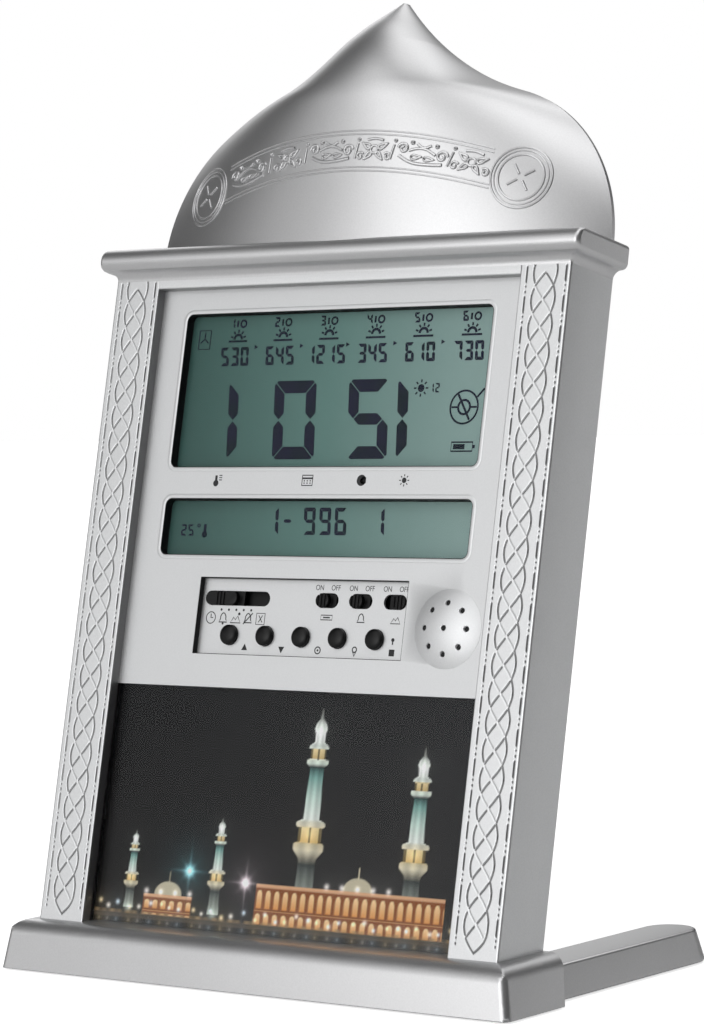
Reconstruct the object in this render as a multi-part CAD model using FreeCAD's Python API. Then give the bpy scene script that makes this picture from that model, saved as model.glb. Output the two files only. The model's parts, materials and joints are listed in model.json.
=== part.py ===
"""Azan clock: a leaning silver table clock with an onion-dome crown.

The body leans back on a plinth with two rear legs.  It is modelled upright first: X runs across the
front, Y runs from the front to the back and Z runs up the front face, with Y = 0 on the pilaster
faces and Z = 0 on the lower edge of the pilasters.  stand_up() then tips it back and sets it on the
plinth.  The plinth and legs are modelled as they stand: Z = 0 on the table and the origin under the
middle of the footprint.

Every sub-part is a closed solid, or a group of identical solids, written to parts/NODE.step.
Lengths are millimetres and angles are degrees.
"""
import FreeCAD, Part
import math
import os
from FreeCAD import Placement, Rotation, Vector

# ---- stance --------------------------------------------------------------------------------------
lean_angle = 13.0           # how far the body leans back from upright
plinth_height = 10.9        # table to the plinth's top face, which carries the body
foot_proud = 0.4            # how far the rubber feet stand out of the base

# ---- body ----------------------------------------------------------------------------------------
body_width = 122.0
body_depth = 15.4
side_wall = 2.0
front_wall = 2.4            # also the depth of the recess between the pilasters
top_wall = 2.0
pilaster_width = 12.4
frieze_height = 9.1         # top of the recess to the top of the cornice
cornice_reach = 3.3         # how far the cornice stands out at the front and the sides
bead_radius = 2.8           # round front nose of the cornice
cove_radius = 2.3           # hollow below the cornice
side_round = 1.3            # rounded lower edge of the cornice's flat side bands
corner_round = 1.1          # edges between the front nose, the top and the side bands

# ---- dome crown ----------------------------------------------------------------------------------
crown_inset = 0.6           # from the body's side to the dome's base
crown_shoulder_radius = 36.0    # convex arc from the base up to the turn of the ogee
crown_shoulder_turn = 74.0      # angle that this arc spans
crown_height = 56.4             # cornice top to the blunt tip, which a concave arc sweeps up to
crown_tip_half = 0.45           # half width of the tip
crown_tip_depth = 1.75
crown_bulge = 17.6              # depth of the bulge at the middle of the dome
crown_crest_fall = 25.3         # height over which the crest falls back to the tip
crown_crest_turn = 50.0         # angle of the crest's arc, which a straight run follows
crown_rim = 1.0                 # flat edge round the dome's back
crown_wall = 2.0
crown_back_plate = 1.6
crown_boss_back = 1.2           # the dome's screw bosses, ahead of the middle of its depth
section_count = 12              # spans along one level outline
shoulder_count = 6              # level outlines up to the turn of the ogee, and above it
sweep_count = 9

# ---- face, from the pilasters' foot up -----------------------------------------------------------
picture_height = 52.4       # up to the joint of picture and panel
field_gap = 7.1             # picture to the sunk control field
field_height = 16.7
date_gap = 4.7              # control field to the small display window
date_height = 12.5
clock_gap = 6.8             # small window to the large one
clock_height = 34.2
top_gap = 5.4               # large window to the top of the recess

# ---- face panel ----------------------------------------------------------------------------------
panel_wall = 2.0
panel_lap = 2.8             # how far the panel reaches behind the pilasters and the frieze
joint_gap = 0.1             # between two fixed pieces that are fitted side by side
window_margin = 7.4         # from the pilaster to the display windows
window_corner = 1.6
lens_wall = 1.0
lens_lap = 1.5              # how far a lens reaches past its window

# ---- displays ------------------------------------------------------------------------------------
cell_wall = 1.1             # one glass of a display cell
cell_lap = 2.3              # how far a cell reaches past its window
cell_ledge = 2.1            # contact ledge along the lower edge of the front glass
cell_gap = 0.05             # lens to cell
frame_wall = 1.4
board_wall = 1.6
board_standoff = 4.4        # back of the panel to the boards
strip_width = 1.8           # rubber contact strips
strip_margin = 1.0          # from a cell's ends to its strip
board_clear = 0.4           # between neighbouring boards and frames
board_ear = 0.4             # board round its screw posts
component_clear = 0.5       # tallest component to the rear cover
chip_radii = (7.0, 5.5)     # the two chips under their sealing drops
chip_insets = (27.0, 29.0)  # from the board's left and right edges
chip_drop = 18.5            # from the board's upper edge
chip_crown = 0.7            # radius of a sealed chip's drop at its top to that at its foot
crystal_size = (8.0, 3.0)
crystal_rise = 14.5         # from the board's lower edge
capacitor_radius = 2.5
capacitor_place = (19.0, 18.5)      # from the right edge, from the lower edge
socket_size = (8.0, 4.0, 2.0)
socket_place = (9.0, 6.0)   # from the side edges, from the lower edge
ribbon_width = 14.0
ribbon_wall = 0.5
ribbon_rise = 1.6           # behind the boards
ribbon_lap = 3.0            # over each board

# ---- controls ------------------------------------------------------------------------------------
field_width = 55.9          # of the sunk field
field_clear = 1.1           # from the field's right edge to the speaker
control_sink = 1.4
key_board_margin = 5.0      # board past the field's left edge
key_board_lap = 1.0         # board past the field's other edges
key_board_low = 2.8
button_rise = 4.4           # from the field's lower edge to the buttons' centres
button_inset = 8.75         # from its left edge to the leftmost button's centre
button_pitch = 9.75
button_diameter = 4.3
button_round = 0.35
button_flange = 6.0         # collar that keeps the button behind the panel
button_flange_wall = 0.7
button_proud = 1.2          # how far the buttons stand out of the sunk field
button_travel = 0.6
button_names = ("up", "down", "set", "city", "stop")
slider_rise = 12.35         # from the field's lower edge to the slots' centres
slot_height = 3.2
mode_inset = 1.1            # from the field's left edge to the long slot
mode_knob_length = 8.6
mode_step = 2.05            # five positions, four steps
mode_spare = 0.5            # slot left past the last position
switch_inset = 31.1         # from the field's left edge to the first short slot
switch_pitch = 8.9
switch_knob_length = 3.4
switch_travel = 2.3
switch_rest = (-1, -1, 1)   # which end of its slot each small knob rests at
knob_proud = 0.5            # how far the knobs stand out of the sunk field
knob_flange_lap = 1.3       # how far a knob's collar reaches past it at each end
knob_flange_rise = 0.7      # and above and below its slot
knob_flange_wall = 0.6
knob_stem = 1.6             # side of the square stem
knob_groove = 0.4
knob_groove_pitch = 0.9
knob_groove_depth = 0.3
slide_gap = 0.1             # clearance round each sliding piece
switch_height = 2.6         # tact and slide switch bodies above the board
tact_margin = 0.4           # push switch past its button
slide_switch_margin = (0.6, 1.0)    # slide switch past its slot: along it, above and below it

# ---- speaker -------------------------------------------------------------------------------------
speaker_margin = 10.3       # from the pilaster to the speaker's centre
speaker_clear = 0.7         # from the main board down to the speaker
grille_radius = 8.3
grille_rise = 1.6
grille_wall = 1.2
grille_hole = 1.3           # diameter of the sound holes
grille_ring = 5.3           # radius of the ring of holes
grille_ring_holes = 8
speaker_radius = 10.0
gasket_wall = 0.8
gasket_width = 1.5
basket_rim = 1.4
basket_wall = 0.5
basket_depth = 3.8
cone_clear = 0.3            # cone's edge to the basket's rim
cone_cap = 2.4              # radius of the dust cap
cone_depth = 1.3
magnet_radius = 6.0
magnet_depth = 2.2
magnet_hole = 2.0

# ---- picture -------------------------------------------------------------------------------------
picture_window_wall = 1.0
picture_card_wall = 0.3
card_margin = 1.0

# ---- rear cover and batteries --------------------------------------------------------------------
cover_wall = 2.0
cell_diameter = 14.2        # AA cells
cell_length = 49.5
cell_nub_diameter = 5.4
cell_nub = 1.0
cell_clear = 0.3            # round each battery
contact_wall = 0.4
contact_share = 0.7         # contact plate's side to the cell's diameter
spring_wire = 0.45          # radius of the wire
spring_radius = 4.2         # of the widest turn, which the plate carries
spring_turns = 4
spring_pitch = 0.8          # of the turns when a cell presses them together
spring_step = 0.2           # how much narrower each turn is than the one before
bay_wall = 1.5
bay_low = 9.0               # foot of the pilasters to the floor of the battery bay
rail_wall = 2.5             # bay sides, which hold the door's grooves
rail_groove = 1.15
door_wall = 2.3
door_tongue = 1.1
door_grip_ribs = 4
door_grip_half = 8.0
door_grip_rise = 4.0        # from the door's lower edge
door_grip_pitch = 1.8
door_grip_wall = 0.8
door_grip_proud = 0.5
saddle_wall = 0.8           # rib between the cells

# ---- screws --------------------------------------------------------------------------------------
boss_radius = 3.0
screw_diameter = 2.6
screw_length = 8.0
screw_head_diameter = 5.0
screw_head = 1.2
pilot_gap = 0.02            # screw thread to its moulded hole
hole_gap = 0.25             # screw shank to a clearance hole
boss_low = 22.0             # lowest of the rear cover's three rows of screws
boss_drop = 13.9            # from the top of the cavity to the highest row
board_screw_diameter = 2.0
board_screw_length = 4.0
board_screw_head_diameter = 3.6
board_screw_head = 0.9
recess_span = 0.6           # screw head's cross recess: its span and its width to the head's diameter
recess_width = 0.14
post_radius = 2.1

# ---- plinth and legs -----------------------------------------------------------------------------
plinth_side = 6.3           # table edge of the plinth outside the body's side
plinth_reach = 6.3          # table edge of the plinth ahead of the pilasters' foot
plinth_draft = 10.0         # inward slope of the front face and the ends
plinth_wall = 2.2
plinth_round = 4.0          # long upper edges and the ends' upper edges
plinth_corner = 1.6         # front corners
plinth_back_lap = 0.8       # plinth top behind the body's back face
plinth_rib_pitch = 32.0
rib_wall = 1.5
leg_width = 15.8            # on the table
leg_height = 7.35
leg_inset = 4.1             # from the plinth's end to the leg's outer side
leg_reach = 71.0            # from the pilasters' foot to the centre of the leg's round end
leg_draft = 16.0
leg_wall = 2.0
leg_round = 0.8
tenon_wall = 3.0
tenon_rise = 2.2            # from the leg's underside
tenon_shoulder = 2.3        # from the leg's sides to its tenon
tenon_reach = 8.0           # how far the leg's tenon enters the plinth
leg_rib_count = 3
foot_radius = 3.8
foot_wall = 1.4
foot_seat_wall = 1.0
front_foot = (7.3, 5.8)     # front feet: in from the plinth's end, back from its table edge
base_screw = (3.5, 7.0)     # in from the body's side, back from the pilasters' foot
leg_screw = (5.3, 5.0)      # in from the body's screw, ahead of the plinth's back
leg_boss_radius = 2.6
blind = 1.0                 # material left over the end of a screw hole

# ---- worked-out places ---------------------------------------------------------------------------
lean = math.radians(lean_angle)
half_width = body_width / 2
recess_half = half_width - pilaster_width
window_half_width = recess_half - window_margin
field_low = picture_height + field_gap
field_high = field_low + field_height
date_window = (field_high + date_gap, field_high + date_gap + date_height)
clock_window = (date_window[1] + clock_gap, date_window[1] + clock_gap + clock_height)
recess_height = clock_window[1] + top_gap
cornice_height = recess_height + frieze_height
crown_half_width = half_width - crown_inset
panel_front = front_wall
panel_back = panel_front + panel_wall
panel_half = recess_half + panel_lap
panel_top = recess_height + panel_lap
field_face = panel_front + control_sink
board_front = panel_back + board_standoff
board_back = board_front + board_wall
cover_front = body_depth - cover_wall
cavity_half = half_width - side_wall
cavity_top = cornice_height - top_wall
lens_back = panel_back
cell_front = lens_back + cell_gap
main_board_low = date_window[0] - cell_lap - frame_wall - joint_gap
speaker_across = recess_half - speaker_margin
speaker_up = main_board_low - speaker_clear - speaker_radius
field_right = speaker_across - speaker_radius - field_clear
field_left = field_right - field_width
button_row = field_low + button_rise
slider_row = field_low + slider_rise
mode_start = field_left + mode_inset
mode_travel = 4 * mode_step
mode_slot = (mode_start, mode_start + mode_knob_length + mode_travel + 2 * slide_gap + mode_spare)
boss_high = cavity_top - boss_drop
boss_rows = (boss_low, (boss_low + boss_high) / 2, boss_high)
plinth_width = body_width + 2 * plinth_side
footprint = plinth_reach + leg_reach + leg_width / 2
body_foot = plinth_reach - footprint / 2        # Y of the pilasters' foot in the standing frame
card_back = panel_front + picture_window_wall + picture_card_wall
bay_floor_front = card_back + joint_gap
bay_floor = bay_floor_front + bay_wall
bay_back = bay_floor + cell_diameter + 2 * cell_clear      # inner face of the closed door
bay_height = 2 * (cell_diameter + 2 * cell_clear)
spring_height = (spring_turns - 1) * spring_pitch + 2 * spring_wire
bay_half = (cell_length + cell_nub + spring_height + 2 * contact_wall + 3 * joint_gap) / 2
bay_top = bay_low + bay_height
bay_skin = bay_back + slide_gap + door_wall
OVER = 1.0                  # how far cutting tools run past a face
TINY = 0.01                 # slack when edges are picked by their place


# ---- small building blocks -----------------------------------------------------------------------
def box(x_low, x_high, y_low, y_high, z_low, z_high):
    """A block between two corners."""
    return Part.makeBox(x_high - x_low, y_high - y_low, z_high - z_low, Vector(x_low, y_low, z_low))


def rod(x, y, z, radius, length, axis):
    """A cylinder that starts at a point and runs along an axis."""
    return Part.makeCylinder(radius, length, Vector(x, y, z), axis)


ACROSS = Vector(1, 0, 0)
BACK = Vector(0, 1, 0)
UP = Vector(0, 0, 1)


def fuse(shapes):
    """One shape from several that touch or overlap, with the seams taken out."""
    joined = shapes[0].multiFuse(shapes[1:]) if len(shapes) > 1 else shapes[0]
    return joined.removeSplitter()


def edge_prism(edges, push):
    """A closed outline of lines and arcs, pushed along a vector."""
    return Part.Face(Part.Wire(edges)).extrude(push)


def line(start, end):
    return Part.LineSegment(start, end).toShape()


def arc(start, middle, end):
    return Part.Arc(start, middle, end).toShape()


def plate(x_low, x_high, z_low, z_high, y_low, y_high, corner):
    """An upright plate with four rounded corners."""
    blank = box(x_low, x_high, y_low, y_high, z_low, z_high)
    edges = [edge for edge in blank.Edges if abs(edge.tangentAt(edge.FirstParameter).y) > 0.99]
    return blank.makeFillet(corner, edges)


def stadium(x_low, x_high, z_mid, height, y_low, y_high):
    """An upright plate with two round ends."""
    half = height / 2
    left, right = x_low + half, x_high - half
    edges = [
        line(Vector(left, y_low, z_mid - half), Vector(right, y_low, z_mid - half)),
        arc(Vector(right, y_low, z_mid - half), Vector(x_high, y_low, z_mid),
            Vector(right, y_low, z_mid + half)),
        line(Vector(right, y_low, z_mid + half), Vector(left, y_low, z_mid + half)),
        arc(Vector(left, y_low, z_mid + half), Vector(x_low, y_low, z_mid),
            Vector(left, y_low, z_mid - half)),
    ]
    return edge_prism(edges, BACK * (y_high - y_low))


def revolve(profile, x, z):
    """A closed (radius, y) outline turned about the Y-ward axis through x, z."""
    points = [Vector(x + radius, y, z) for radius, y in profile]
    face = Part.Face(Part.makePolygon(points + [points[0]]))
    return face.revolve(Vector(x, 0, z), BACK, 360)


def screw(x, y, z, axis, diameter, length, head_diameter, head):
    """A pan-head screw whose head rests at a point, with its shank along the axis."""
    shank = rod(x, y, z, diameter / 2, length, axis)
    cap = Part.makeCylinder(head_diameter / 2, head, Vector(x, y, z), axis * -1)
    slot_depth = head / 2
    start = Vector(x, y, z) - axis * head
    side = UP if abs(axis.z) < 0.5 else BACK
    span, width = head_diameter * recess_span, head_diameter * recess_width
    bar = Part.makeBox(span, width, slot_depth)
    bar.translate(Vector(-span / 2, -width / 2, 0))
    cross = bar.fuse(bar.rotated(Vector(0, 0, 0), UP, 90))
    cross.Placement = Placement(start, Rotation(ACROSS, side, axis, "ZXY")).multiply(cross.Placement)
    return shank.fuse(cap).cut(cross).removeSplitter()


def stand_up(shape):
    """Tips an upright piece back and sets it on the plinth."""
    seat = Placement(Vector(0, body_foot, plinth_height), Rotation(ACROSS, -lean_angle))
    placed = shape.copy()
    placed.Placement = seat.multiply(placed.Placement)
    return placed


def above_plinth(shape, gap):
    """A standing piece, trimmed level just above the plinth's top face."""
    reach = body_width + body_depth
    table = box(-reach, reach, -reach, reach, -reach, plinth_height + gap)
    return shape.cut(table)


# ---- front housing -------------------------------------------------------------------------------
def cornice():
    """The cornice: a round-nosed moulding in front and flat bands at the sides, over a cove."""
    nose = -cornice_reach
    bead_mid = cornice_height - bead_radius
    bead_centre = nose + bead_radius
    cove_end = -cove_radius
    cove_top = bead_mid - math.sqrt(bead_radius ** 2 - (cove_end - bead_centre) ** 2)
    low = cove_top - cove_radius
    diagonal = cove_radius * (1 - math.sqrt(0.5))
    left = -half_width - cornice_reach
    front = edge_prism([
        line(Vector(left, body_depth, low), Vector(left, 0, low)),
        arc(Vector(left, 0, low), Vector(left, -diagonal, cove_top - diagonal),
            Vector(left, cove_end, cove_top)),
        arc(Vector(left, cove_end, cove_top), Vector(left, nose, bead_mid),
            Vector(left, bead_centre, cornice_height)),
        line(Vector(left, bead_centre, cornice_height), Vector(left, body_depth, cornice_height)),
        line(Vector(left, body_depth, cornice_height), Vector(left, body_depth, low)),
    ], ACROSS * (2 * -left))
    reach = half_width + cornice_reach
    neck = reach - side_round
    cove = neck - half_width
    round_low = low + cove
    bend = cove * (1 - math.sqrt(0.5))
    swell = side_round * (1 - math.sqrt(0.5))

    def side(sign):
        """One side band from the cove up to the top, as points and arcs."""
        face = Vector(sign * half_width, nose, low)
        hollow = Vector(sign * (half_width + bend), nose, round_low - bend)
        turn = Vector(sign * neck, nose, round_low)
        bulge = Vector(sign * (reach - swell), nose, round_low + swell)
        band = Vector(sign * reach, nose, round_low + side_round)
        top = Vector(sign * reach, nose, cornice_height)
        return [arc(face, hollow, turn), arc(turn, bulge, band), line(band, top)]

    left_side, right_side = side(-1), side(1)
    sides = edge_prism(
        left_side
        + [line(Vector(-reach, nose, cornice_height), Vector(reach, nose, cornice_height))]
        + right_side[::-1]
        + [line(Vector(half_width, nose, low), Vector(-half_width, nose, low))],
        BACK * (body_depth - nose))
    moulding = front.common(sides)
    rounded = []
    for edge in moulding.Edges:
        extent = edge.BoundBox
        on_band = min(abs(extent.XMin), abs(extent.XMax)) > reach - TINY
        if on_band and (extent.YMax < 0 or extent.ZMin > cornice_height - TINY):
            rounded.append(edge)
    return moulding.makeFillet(corner_round, rounded), low


def front_housing():
    """The silver moulding: pilasters, frieze and cornice round a deep shell, with its screw bosses."""
    moulding, low = cornice()
    below = -plinth_height
    shell = box(-half_width, half_width, 0, body_depth, below, low + OVER)
    body = fuse([shell, moulding])
    body = body.cut(box(-cavity_half, cavity_half, front_wall, body_depth + OVER, below - OVER, cavity_top))
    body = body.cut(box(-recess_half, recess_half, -OVER, front_wall + OVER, below - OVER, recess_height))
    bosses = []
    holes = []
    for across in (-boss_across(), boss_across()):
        for row in boss_rows:
            bosses.append(rod(across, front_wall - OVER / 2, row, boss_radius,
                              cover_front - front_wall + OVER / 2, BACK))
            holes.append(rod(across, cover_front - screw_length, row, screw_diameter / 2 + pilot_gap,
                             screw_length + OVER, BACK))
    for across, _ in crown_bosses():
        holes.append(rod(across, crown_boss_depth(), cavity_top - OVER, screw_diameter / 2 + hole_gap,
                         top_wall + 2 * OVER, UP))
    body = fuse([body] + bosses).cut(Part.makeCompound(holes))
    body = above_plinth(stand_up(body), 0)
    for sign in (-1, 1):
        across, depth = sign * base_screw_across(), body_foot + base_screw[1]
        length = screw_length - plinth_wall + OVER
        body = body.fuse(rod(across, depth, plinth_height, boss_radius, length, UP))
        body = body.cut(rod(across, depth, plinth_height - OVER, screw_diameter / 2 + pilot_gap,
                            length + OVER - blind / 2, UP))
    return body.removeSplitter()


def boss_across():
    """How far from the middle the housing's screw bosses stand: inside the pilasters."""
    return cavity_half - boss_radius - joint_gap


def base_screw_across():
    return half_width - base_screw[0]


# ---- dome crown ----------------------------------------------------------------------------------
def crown_half(height):
    """Half width of the ogee outline: a convex shoulder arc, then a concave sweep to the tip.

    The sweep's radius is the one that leaves the shoulder arc smoothly and ends at the tip: half the
    squared distance from the turn to the tip over the part of it that runs along the shoulder's radius.
    """
    centre = crown_half_width - crown_shoulder_radius
    turn = math.radians(crown_shoulder_turn)
    turn_height = crown_shoulder_radius * math.sin(turn)
    if height <= turn_height:
        return centre + math.sqrt(crown_shoulder_radius ** 2 - height ** 2)
    turn_half = centre + crown_shoulder_radius * math.cos(turn)
    across, rise = crown_tip_half - turn_half, crown_height - turn_height
    sweep = (across ** 2 + rise ** 2) / (2 * (across * math.cos(turn) + rise * math.sin(turn)))
    sweep_centre = turn_half + sweep * math.cos(turn)
    sweep_level = turn_height + sweep * math.sin(turn)
    return sweep_centre - math.sqrt(sweep ** 2 - (height - sweep_level) ** 2)


def crown_crest(height):
    """Depth of the dome at its middle: constant, then an arc falling back, then a straight run.

    The arc's radius is the one with which the straight run ends at the tip's depth.
    """
    rise = height - (crown_height - crown_crest_fall)
    turn = math.radians(crown_crest_turn)
    fall = crown_bulge - crown_tip_depth
    radius = (crown_crest_fall * math.tan(turn) - fall) / (1 / math.cos(turn) - 1)
    arc_rise = radius * math.sin(turn)
    if rise <= 0:
        return crown_bulge
    if rise <= arc_rise:
        return crown_bulge - radius + math.sqrt(radius ** 2 - rise ** 2)
    return crown_bulge - radius * (1 - math.cos(turn)) - (rise - arc_rise) * math.tan(turn)


def crown_section(height, inset):
    """One level outline of the dome: a bulging front arc, two short rim edges and a straight back.

    The front arc is part of a circle through the rims and the crest, and becomes a half ellipse
    where the dome is deeper than it is wide.
    """
    half = crown_half(height) - inset
    depth = crown_crest(height) - crown_rim - inset
    spread = min(2 * math.atan2(depth, half), math.pi / 2)
    level = cornice_height + height
    points = []
    for step in range(section_count + 1):
        turn = spread * (2 * step / section_count - 1)
        across = half * math.sin(turn) / math.sin(spread)
        bulge = depth * (math.cos(turn) - math.cos(spread)) / (1 - math.cos(spread))
        points.append(Vector(across, body_depth - crown_rim - bulge, level))
    front = Part.BSplineCurve()
    front.interpolate(points)
    left, right = points[0], points[-1]
    left_back = Vector(left.x, body_depth, level)
    right_back = Vector(right.x, body_depth, level)
    return Part.Wire([front.toShape(), line(right, right_back), line(right_back, left_back),
                      line(left_back, left)])


def crown_solid(inset, top):
    """The dome's form, drawn in by a wall's thickness, up to a height above the cornice."""
    turn_height = crown_shoulder_radius * math.sin(math.radians(crown_shoulder_turn))
    heights = [turn_height * step / shoulder_count for step in range(shoulder_count)]
    heights += [turn_height + (top - turn_height) * step / sweep_count for step in range(sweep_count + 1)]
    return Part.makeLoft([crown_section(height, inset) for height in heights], True, False)


def crown_bosses():
    """Screw bosses inside the dome: (X, height)."""
    across = crown_half_width / 2
    return ((-across, screw_length + blind), (across, screw_length + blind))


def crown_boss_depth():
    """Y of the dome's screw bosses, which grow out of the inside of its front wall."""
    return body_depth - crown_bulge / 2 - crown_boss_back


def dome_crown():
    """The onion dome: a thin moulded shell, open at the back and underneath, with two bosses."""
    outer = crown_solid(0, crown_height)
    room = crown_crest(0)
    inner_top = crown_height
    while crown_half(inner_top) - crown_wall < 2 * crown_wall:
        inner_top -= crown_wall / 4
    inner = crown_solid(crown_wall, inner_top)
    shell = outer.cut(inner)
    for across, height in crown_bosses():
        depth = crown_boss_depth()
        boss = rod(across, depth, cornice_height, boss_radius, height, UP)
        web = box(across - rib_wall / 2, across + rib_wall / 2, body_depth - room, depth,
                  cornice_height, cornice_height + height)
        shell = shell.fuse(boss.fuse(web).common(outer))
        shell = shell.cut(rod(across, depth, cornice_height - OVER, screw_diameter / 2 + pilot_gap,
                              height - blind + OVER, UP))
    return stand_up(shell.removeSplitter())


def dome_back_plate():
    """The flat plate that closes the back of the dome, let in flush with its rim."""
    inner_top = crown_height
    while crown_half(inner_top) - crown_wall < 2 * crown_wall:
        inner_top -= crown_wall / 4
    inner = crown_solid(crown_wall + joint_gap, inner_top - joint_gap)
    reach = crown_half_width
    slab = box(-reach, reach, body_depth - crown_back_plate, body_depth, cornice_height,
               cornice_height + crown_height)
    return stand_up(inner.common(slab))


# ---- face panel ----------------------------------------------------------------------------------
def button_places():
    """X of each button's centre."""
    return [field_left + button_inset + button_pitch * index for index in range(len(button_names))]


def switch_slots():
    """Left and right end of each short slot."""
    length = switch_knob_length + switch_travel + 2 * slide_gap
    starts = [field_left + switch_inset + switch_pitch * index for index in range(len(switch_rest))]
    return [(start, start + length) for start in starts]


def key_board_edges():
    """Left, right, low and high edge of the small board behind the controls."""
    right = min(field_right + key_board_lap, speaker_across - speaker_radius - board_clear)
    high = min(field_high + key_board_lap, main_board_low - board_clear)
    return field_left - key_board_margin, right, field_low - key_board_low, high


def key_posts():
    """X and Z of the three posts that carry the key board."""
    left, right, low, high = key_board_edges()
    edge = post_radius + joint_gap
    return ((left + edge, low + edge), (left + edge, high - edge), (right - edge, low + edge))


def main_board_edges():
    """Left, right, low and high edge of the main board."""
    half = window_half_width + cell_lap + frame_wall + joint_gap
    return -half, half, main_board_low, clock_window[1] + cell_lap + frame_wall + joint_gap


def main_posts():
    """X and Z of the posts that carry the main board, in the side margins of the panel."""
    left, right, low, high = main_board_edges()
    out = post_radius + joint_gap
    return [(side, level) for side in (left - out, right + out) for level in (low + out, high - out)]


def face_panel():
    """The flat instrument panel: display windows, sunk control field, slots, grille and posts."""
    panel = box(-panel_half, panel_half, panel_front, panel_back, picture_height, panel_top)
    for low, high in (clock_window, date_window):
        panel = panel.cut(plate(-window_half_width, window_half_width, low, high,
                                panel_front - OVER, panel_back + OVER, window_corner))
        lap = lens_lap + joint_gap
        panel = panel.cut(box(-window_half_width - lap, window_half_width + lap,
                              panel_back - lens_wall - joint_gap, panel_back + OVER, low - lap, high + lap))
    panel = panel.cut(box(field_left, field_right, panel_front - OVER, field_face, field_low, field_high))
    openings = []
    for across in button_places():
        openings.append(rod(across, panel_front - OVER, button_row, button_diameter / 2 + slide_gap,
                            panel_wall + 2 * OVER, BACK))
    for slot_low, slot_high in [mode_slot] + switch_slots():
        openings.append(stadium(slot_low, slot_high, slider_row, slot_height,
                                panel_front - OVER, panel_back + OVER))
    panel = panel.cut(Part.makeCompound(openings))
    panel = speaker_grille(panel)
    posts = []
    for across, level in list(key_posts()) + main_posts():
        posts.append(rod(across, panel_back - OVER / 2, level, post_radius, board_standoff + OVER / 2, BACK))
    panel = fuse([panel] + posts)
    pilots = [rod(across, board_front - board_screw_length + board_wall, level,
                  board_screw_diameter / 2 + pilot_gap, board_screw_length, BACK)
              for across, level in list(key_posts()) + main_posts()]
    return stand_up(panel.cut(Part.makeCompound(pilots)))


def speaker_grille(panel):
    """Gives the panel its domed grille with a ring of sound holes, and a rim that holds the speaker."""
    x, z = speaker_across, speaker_up
    sphere_radius = (grille_radius ** 2 + grille_rise ** 2) / (2 * grille_rise)
    centre = Vector(x, panel_front - grille_rise + sphere_radius, z)
    outer = Part.makeSphere(sphere_radius, centre)
    inner = Part.makeSphere(sphere_radius - grille_wall, centre)
    bore = rod(x, panel_front - grille_rise - OVER, z, grille_radius,
               grille_rise + panel_wall + 2 * OVER, BACK)
    cap = outer.common(rod(x, panel_front - grille_rise - OVER, z, grille_radius,
                           grille_rise + panel_wall + OVER, BACK))
    panel = panel.cut(bore).fuse(cap).cut(inner.common(bore))
    rim_outer = speaker_radius + joint_gap + frame_wall
    rim = rod(x, panel_back - OVER / 2, z, rim_outer, gasket_wall + basket_depth / 2 + OVER / 2, BACK)
    rim = rim.cut(rod(x, panel_back - OVER, z, speaker_radius + joint_gap, board_standoff + 2 * OVER, BACK))
    rim_left = field_right + knob_flange_lap + slide_gap
    rim_top = main_board_low - joint_gap
    panel = panel.fuse(rim.common(box(rim_left, panel_half, 0, body_depth, picture_height, rim_top)))
    holes = [rod(x, 0 - OVER, z, grille_hole / 2, panel_back + OVER, BACK)]
    for index in range(grille_ring_holes):
        turn = 2 * math.pi * index / grille_ring_holes
        holes.append(rod(x + grille_ring * math.sin(turn), -OVER, z + grille_ring * math.cos(turn),
                         grille_hole / 2, panel_back + OVER, BACK))
    return panel.cut(Part.makeCompound(holes))


def lens(window):
    """A clear window, let into the back of the panel."""
    low, high = window
    half = window_half_width + lens_lap
    return stand_up(plate(-half, half, low - lens_lap, high + lens_lap,
                          panel_back - lens_wall, panel_back, window_corner / 2))


# ---- displays and boards -------------------------------------------------------------------------
def display_cell(window):
    """A liquid-crystal cell: two glasses, the rear one set back to leave a contact ledge."""
    low, high = window
    half = window_half_width + cell_lap
    front = box(-half, half, cell_front, cell_front + cell_wall, low - cell_lap, high + cell_lap)
    rear = box(-half, half, cell_front + cell_wall, cell_front + 2 * cell_wall,
               low - cell_lap + cell_ledge, high + cell_lap)
    return stand_up(front.fuse(rear).removeSplitter())


def zebra_strips():
    """Rubber contact strips, squeezed between each cell's ledge and the main board."""
    half = window_half_width + cell_lap - strip_margin
    strips = []
    for low, _ in (clock_window, date_window):
        edge = low - cell_lap + (cell_ledge - strip_width) / 2
        strips.append(stand_up(box(-half, half, cell_front + cell_wall, board_front,
                                   edge, edge + strip_width)))
    return Part.makeCompound(strips)


def display_frame():
    """The frame that holds both cells square between the panel and the main board."""
    left, right, low, high = main_board_edges()
    frame = box(left, right, panel_back, board_front, low, high)
    half = window_half_width + cell_lap + joint_gap
    for window_low, window_high in (clock_window, date_window):
        reach = cell_lap + joint_gap
        frame = frame.cut(box(-half, half, panel_back - OVER, board_front + OVER,
                              window_low - reach, window_high + reach))
    return stand_up(frame)


def board(edges, posts):
    """A circuit board with its screw holes."""
    left, right, low, high = edges
    ears = [box(left, right, board_front, board_back, low, high)]
    for across, level in posts:
        ears.append(rod(across, board_front, level, post_radius + board_ear, board_wall, BACK))
    blank = fuse(ears)
    holes = [rod(across, board_front - OVER, level, board_screw_diameter / 2 + hole_gap,
                 board_wall + 2 * OVER, BACK) for across, level in posts]
    return stand_up(blank.cut(Part.makeCompound(holes)))


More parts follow.
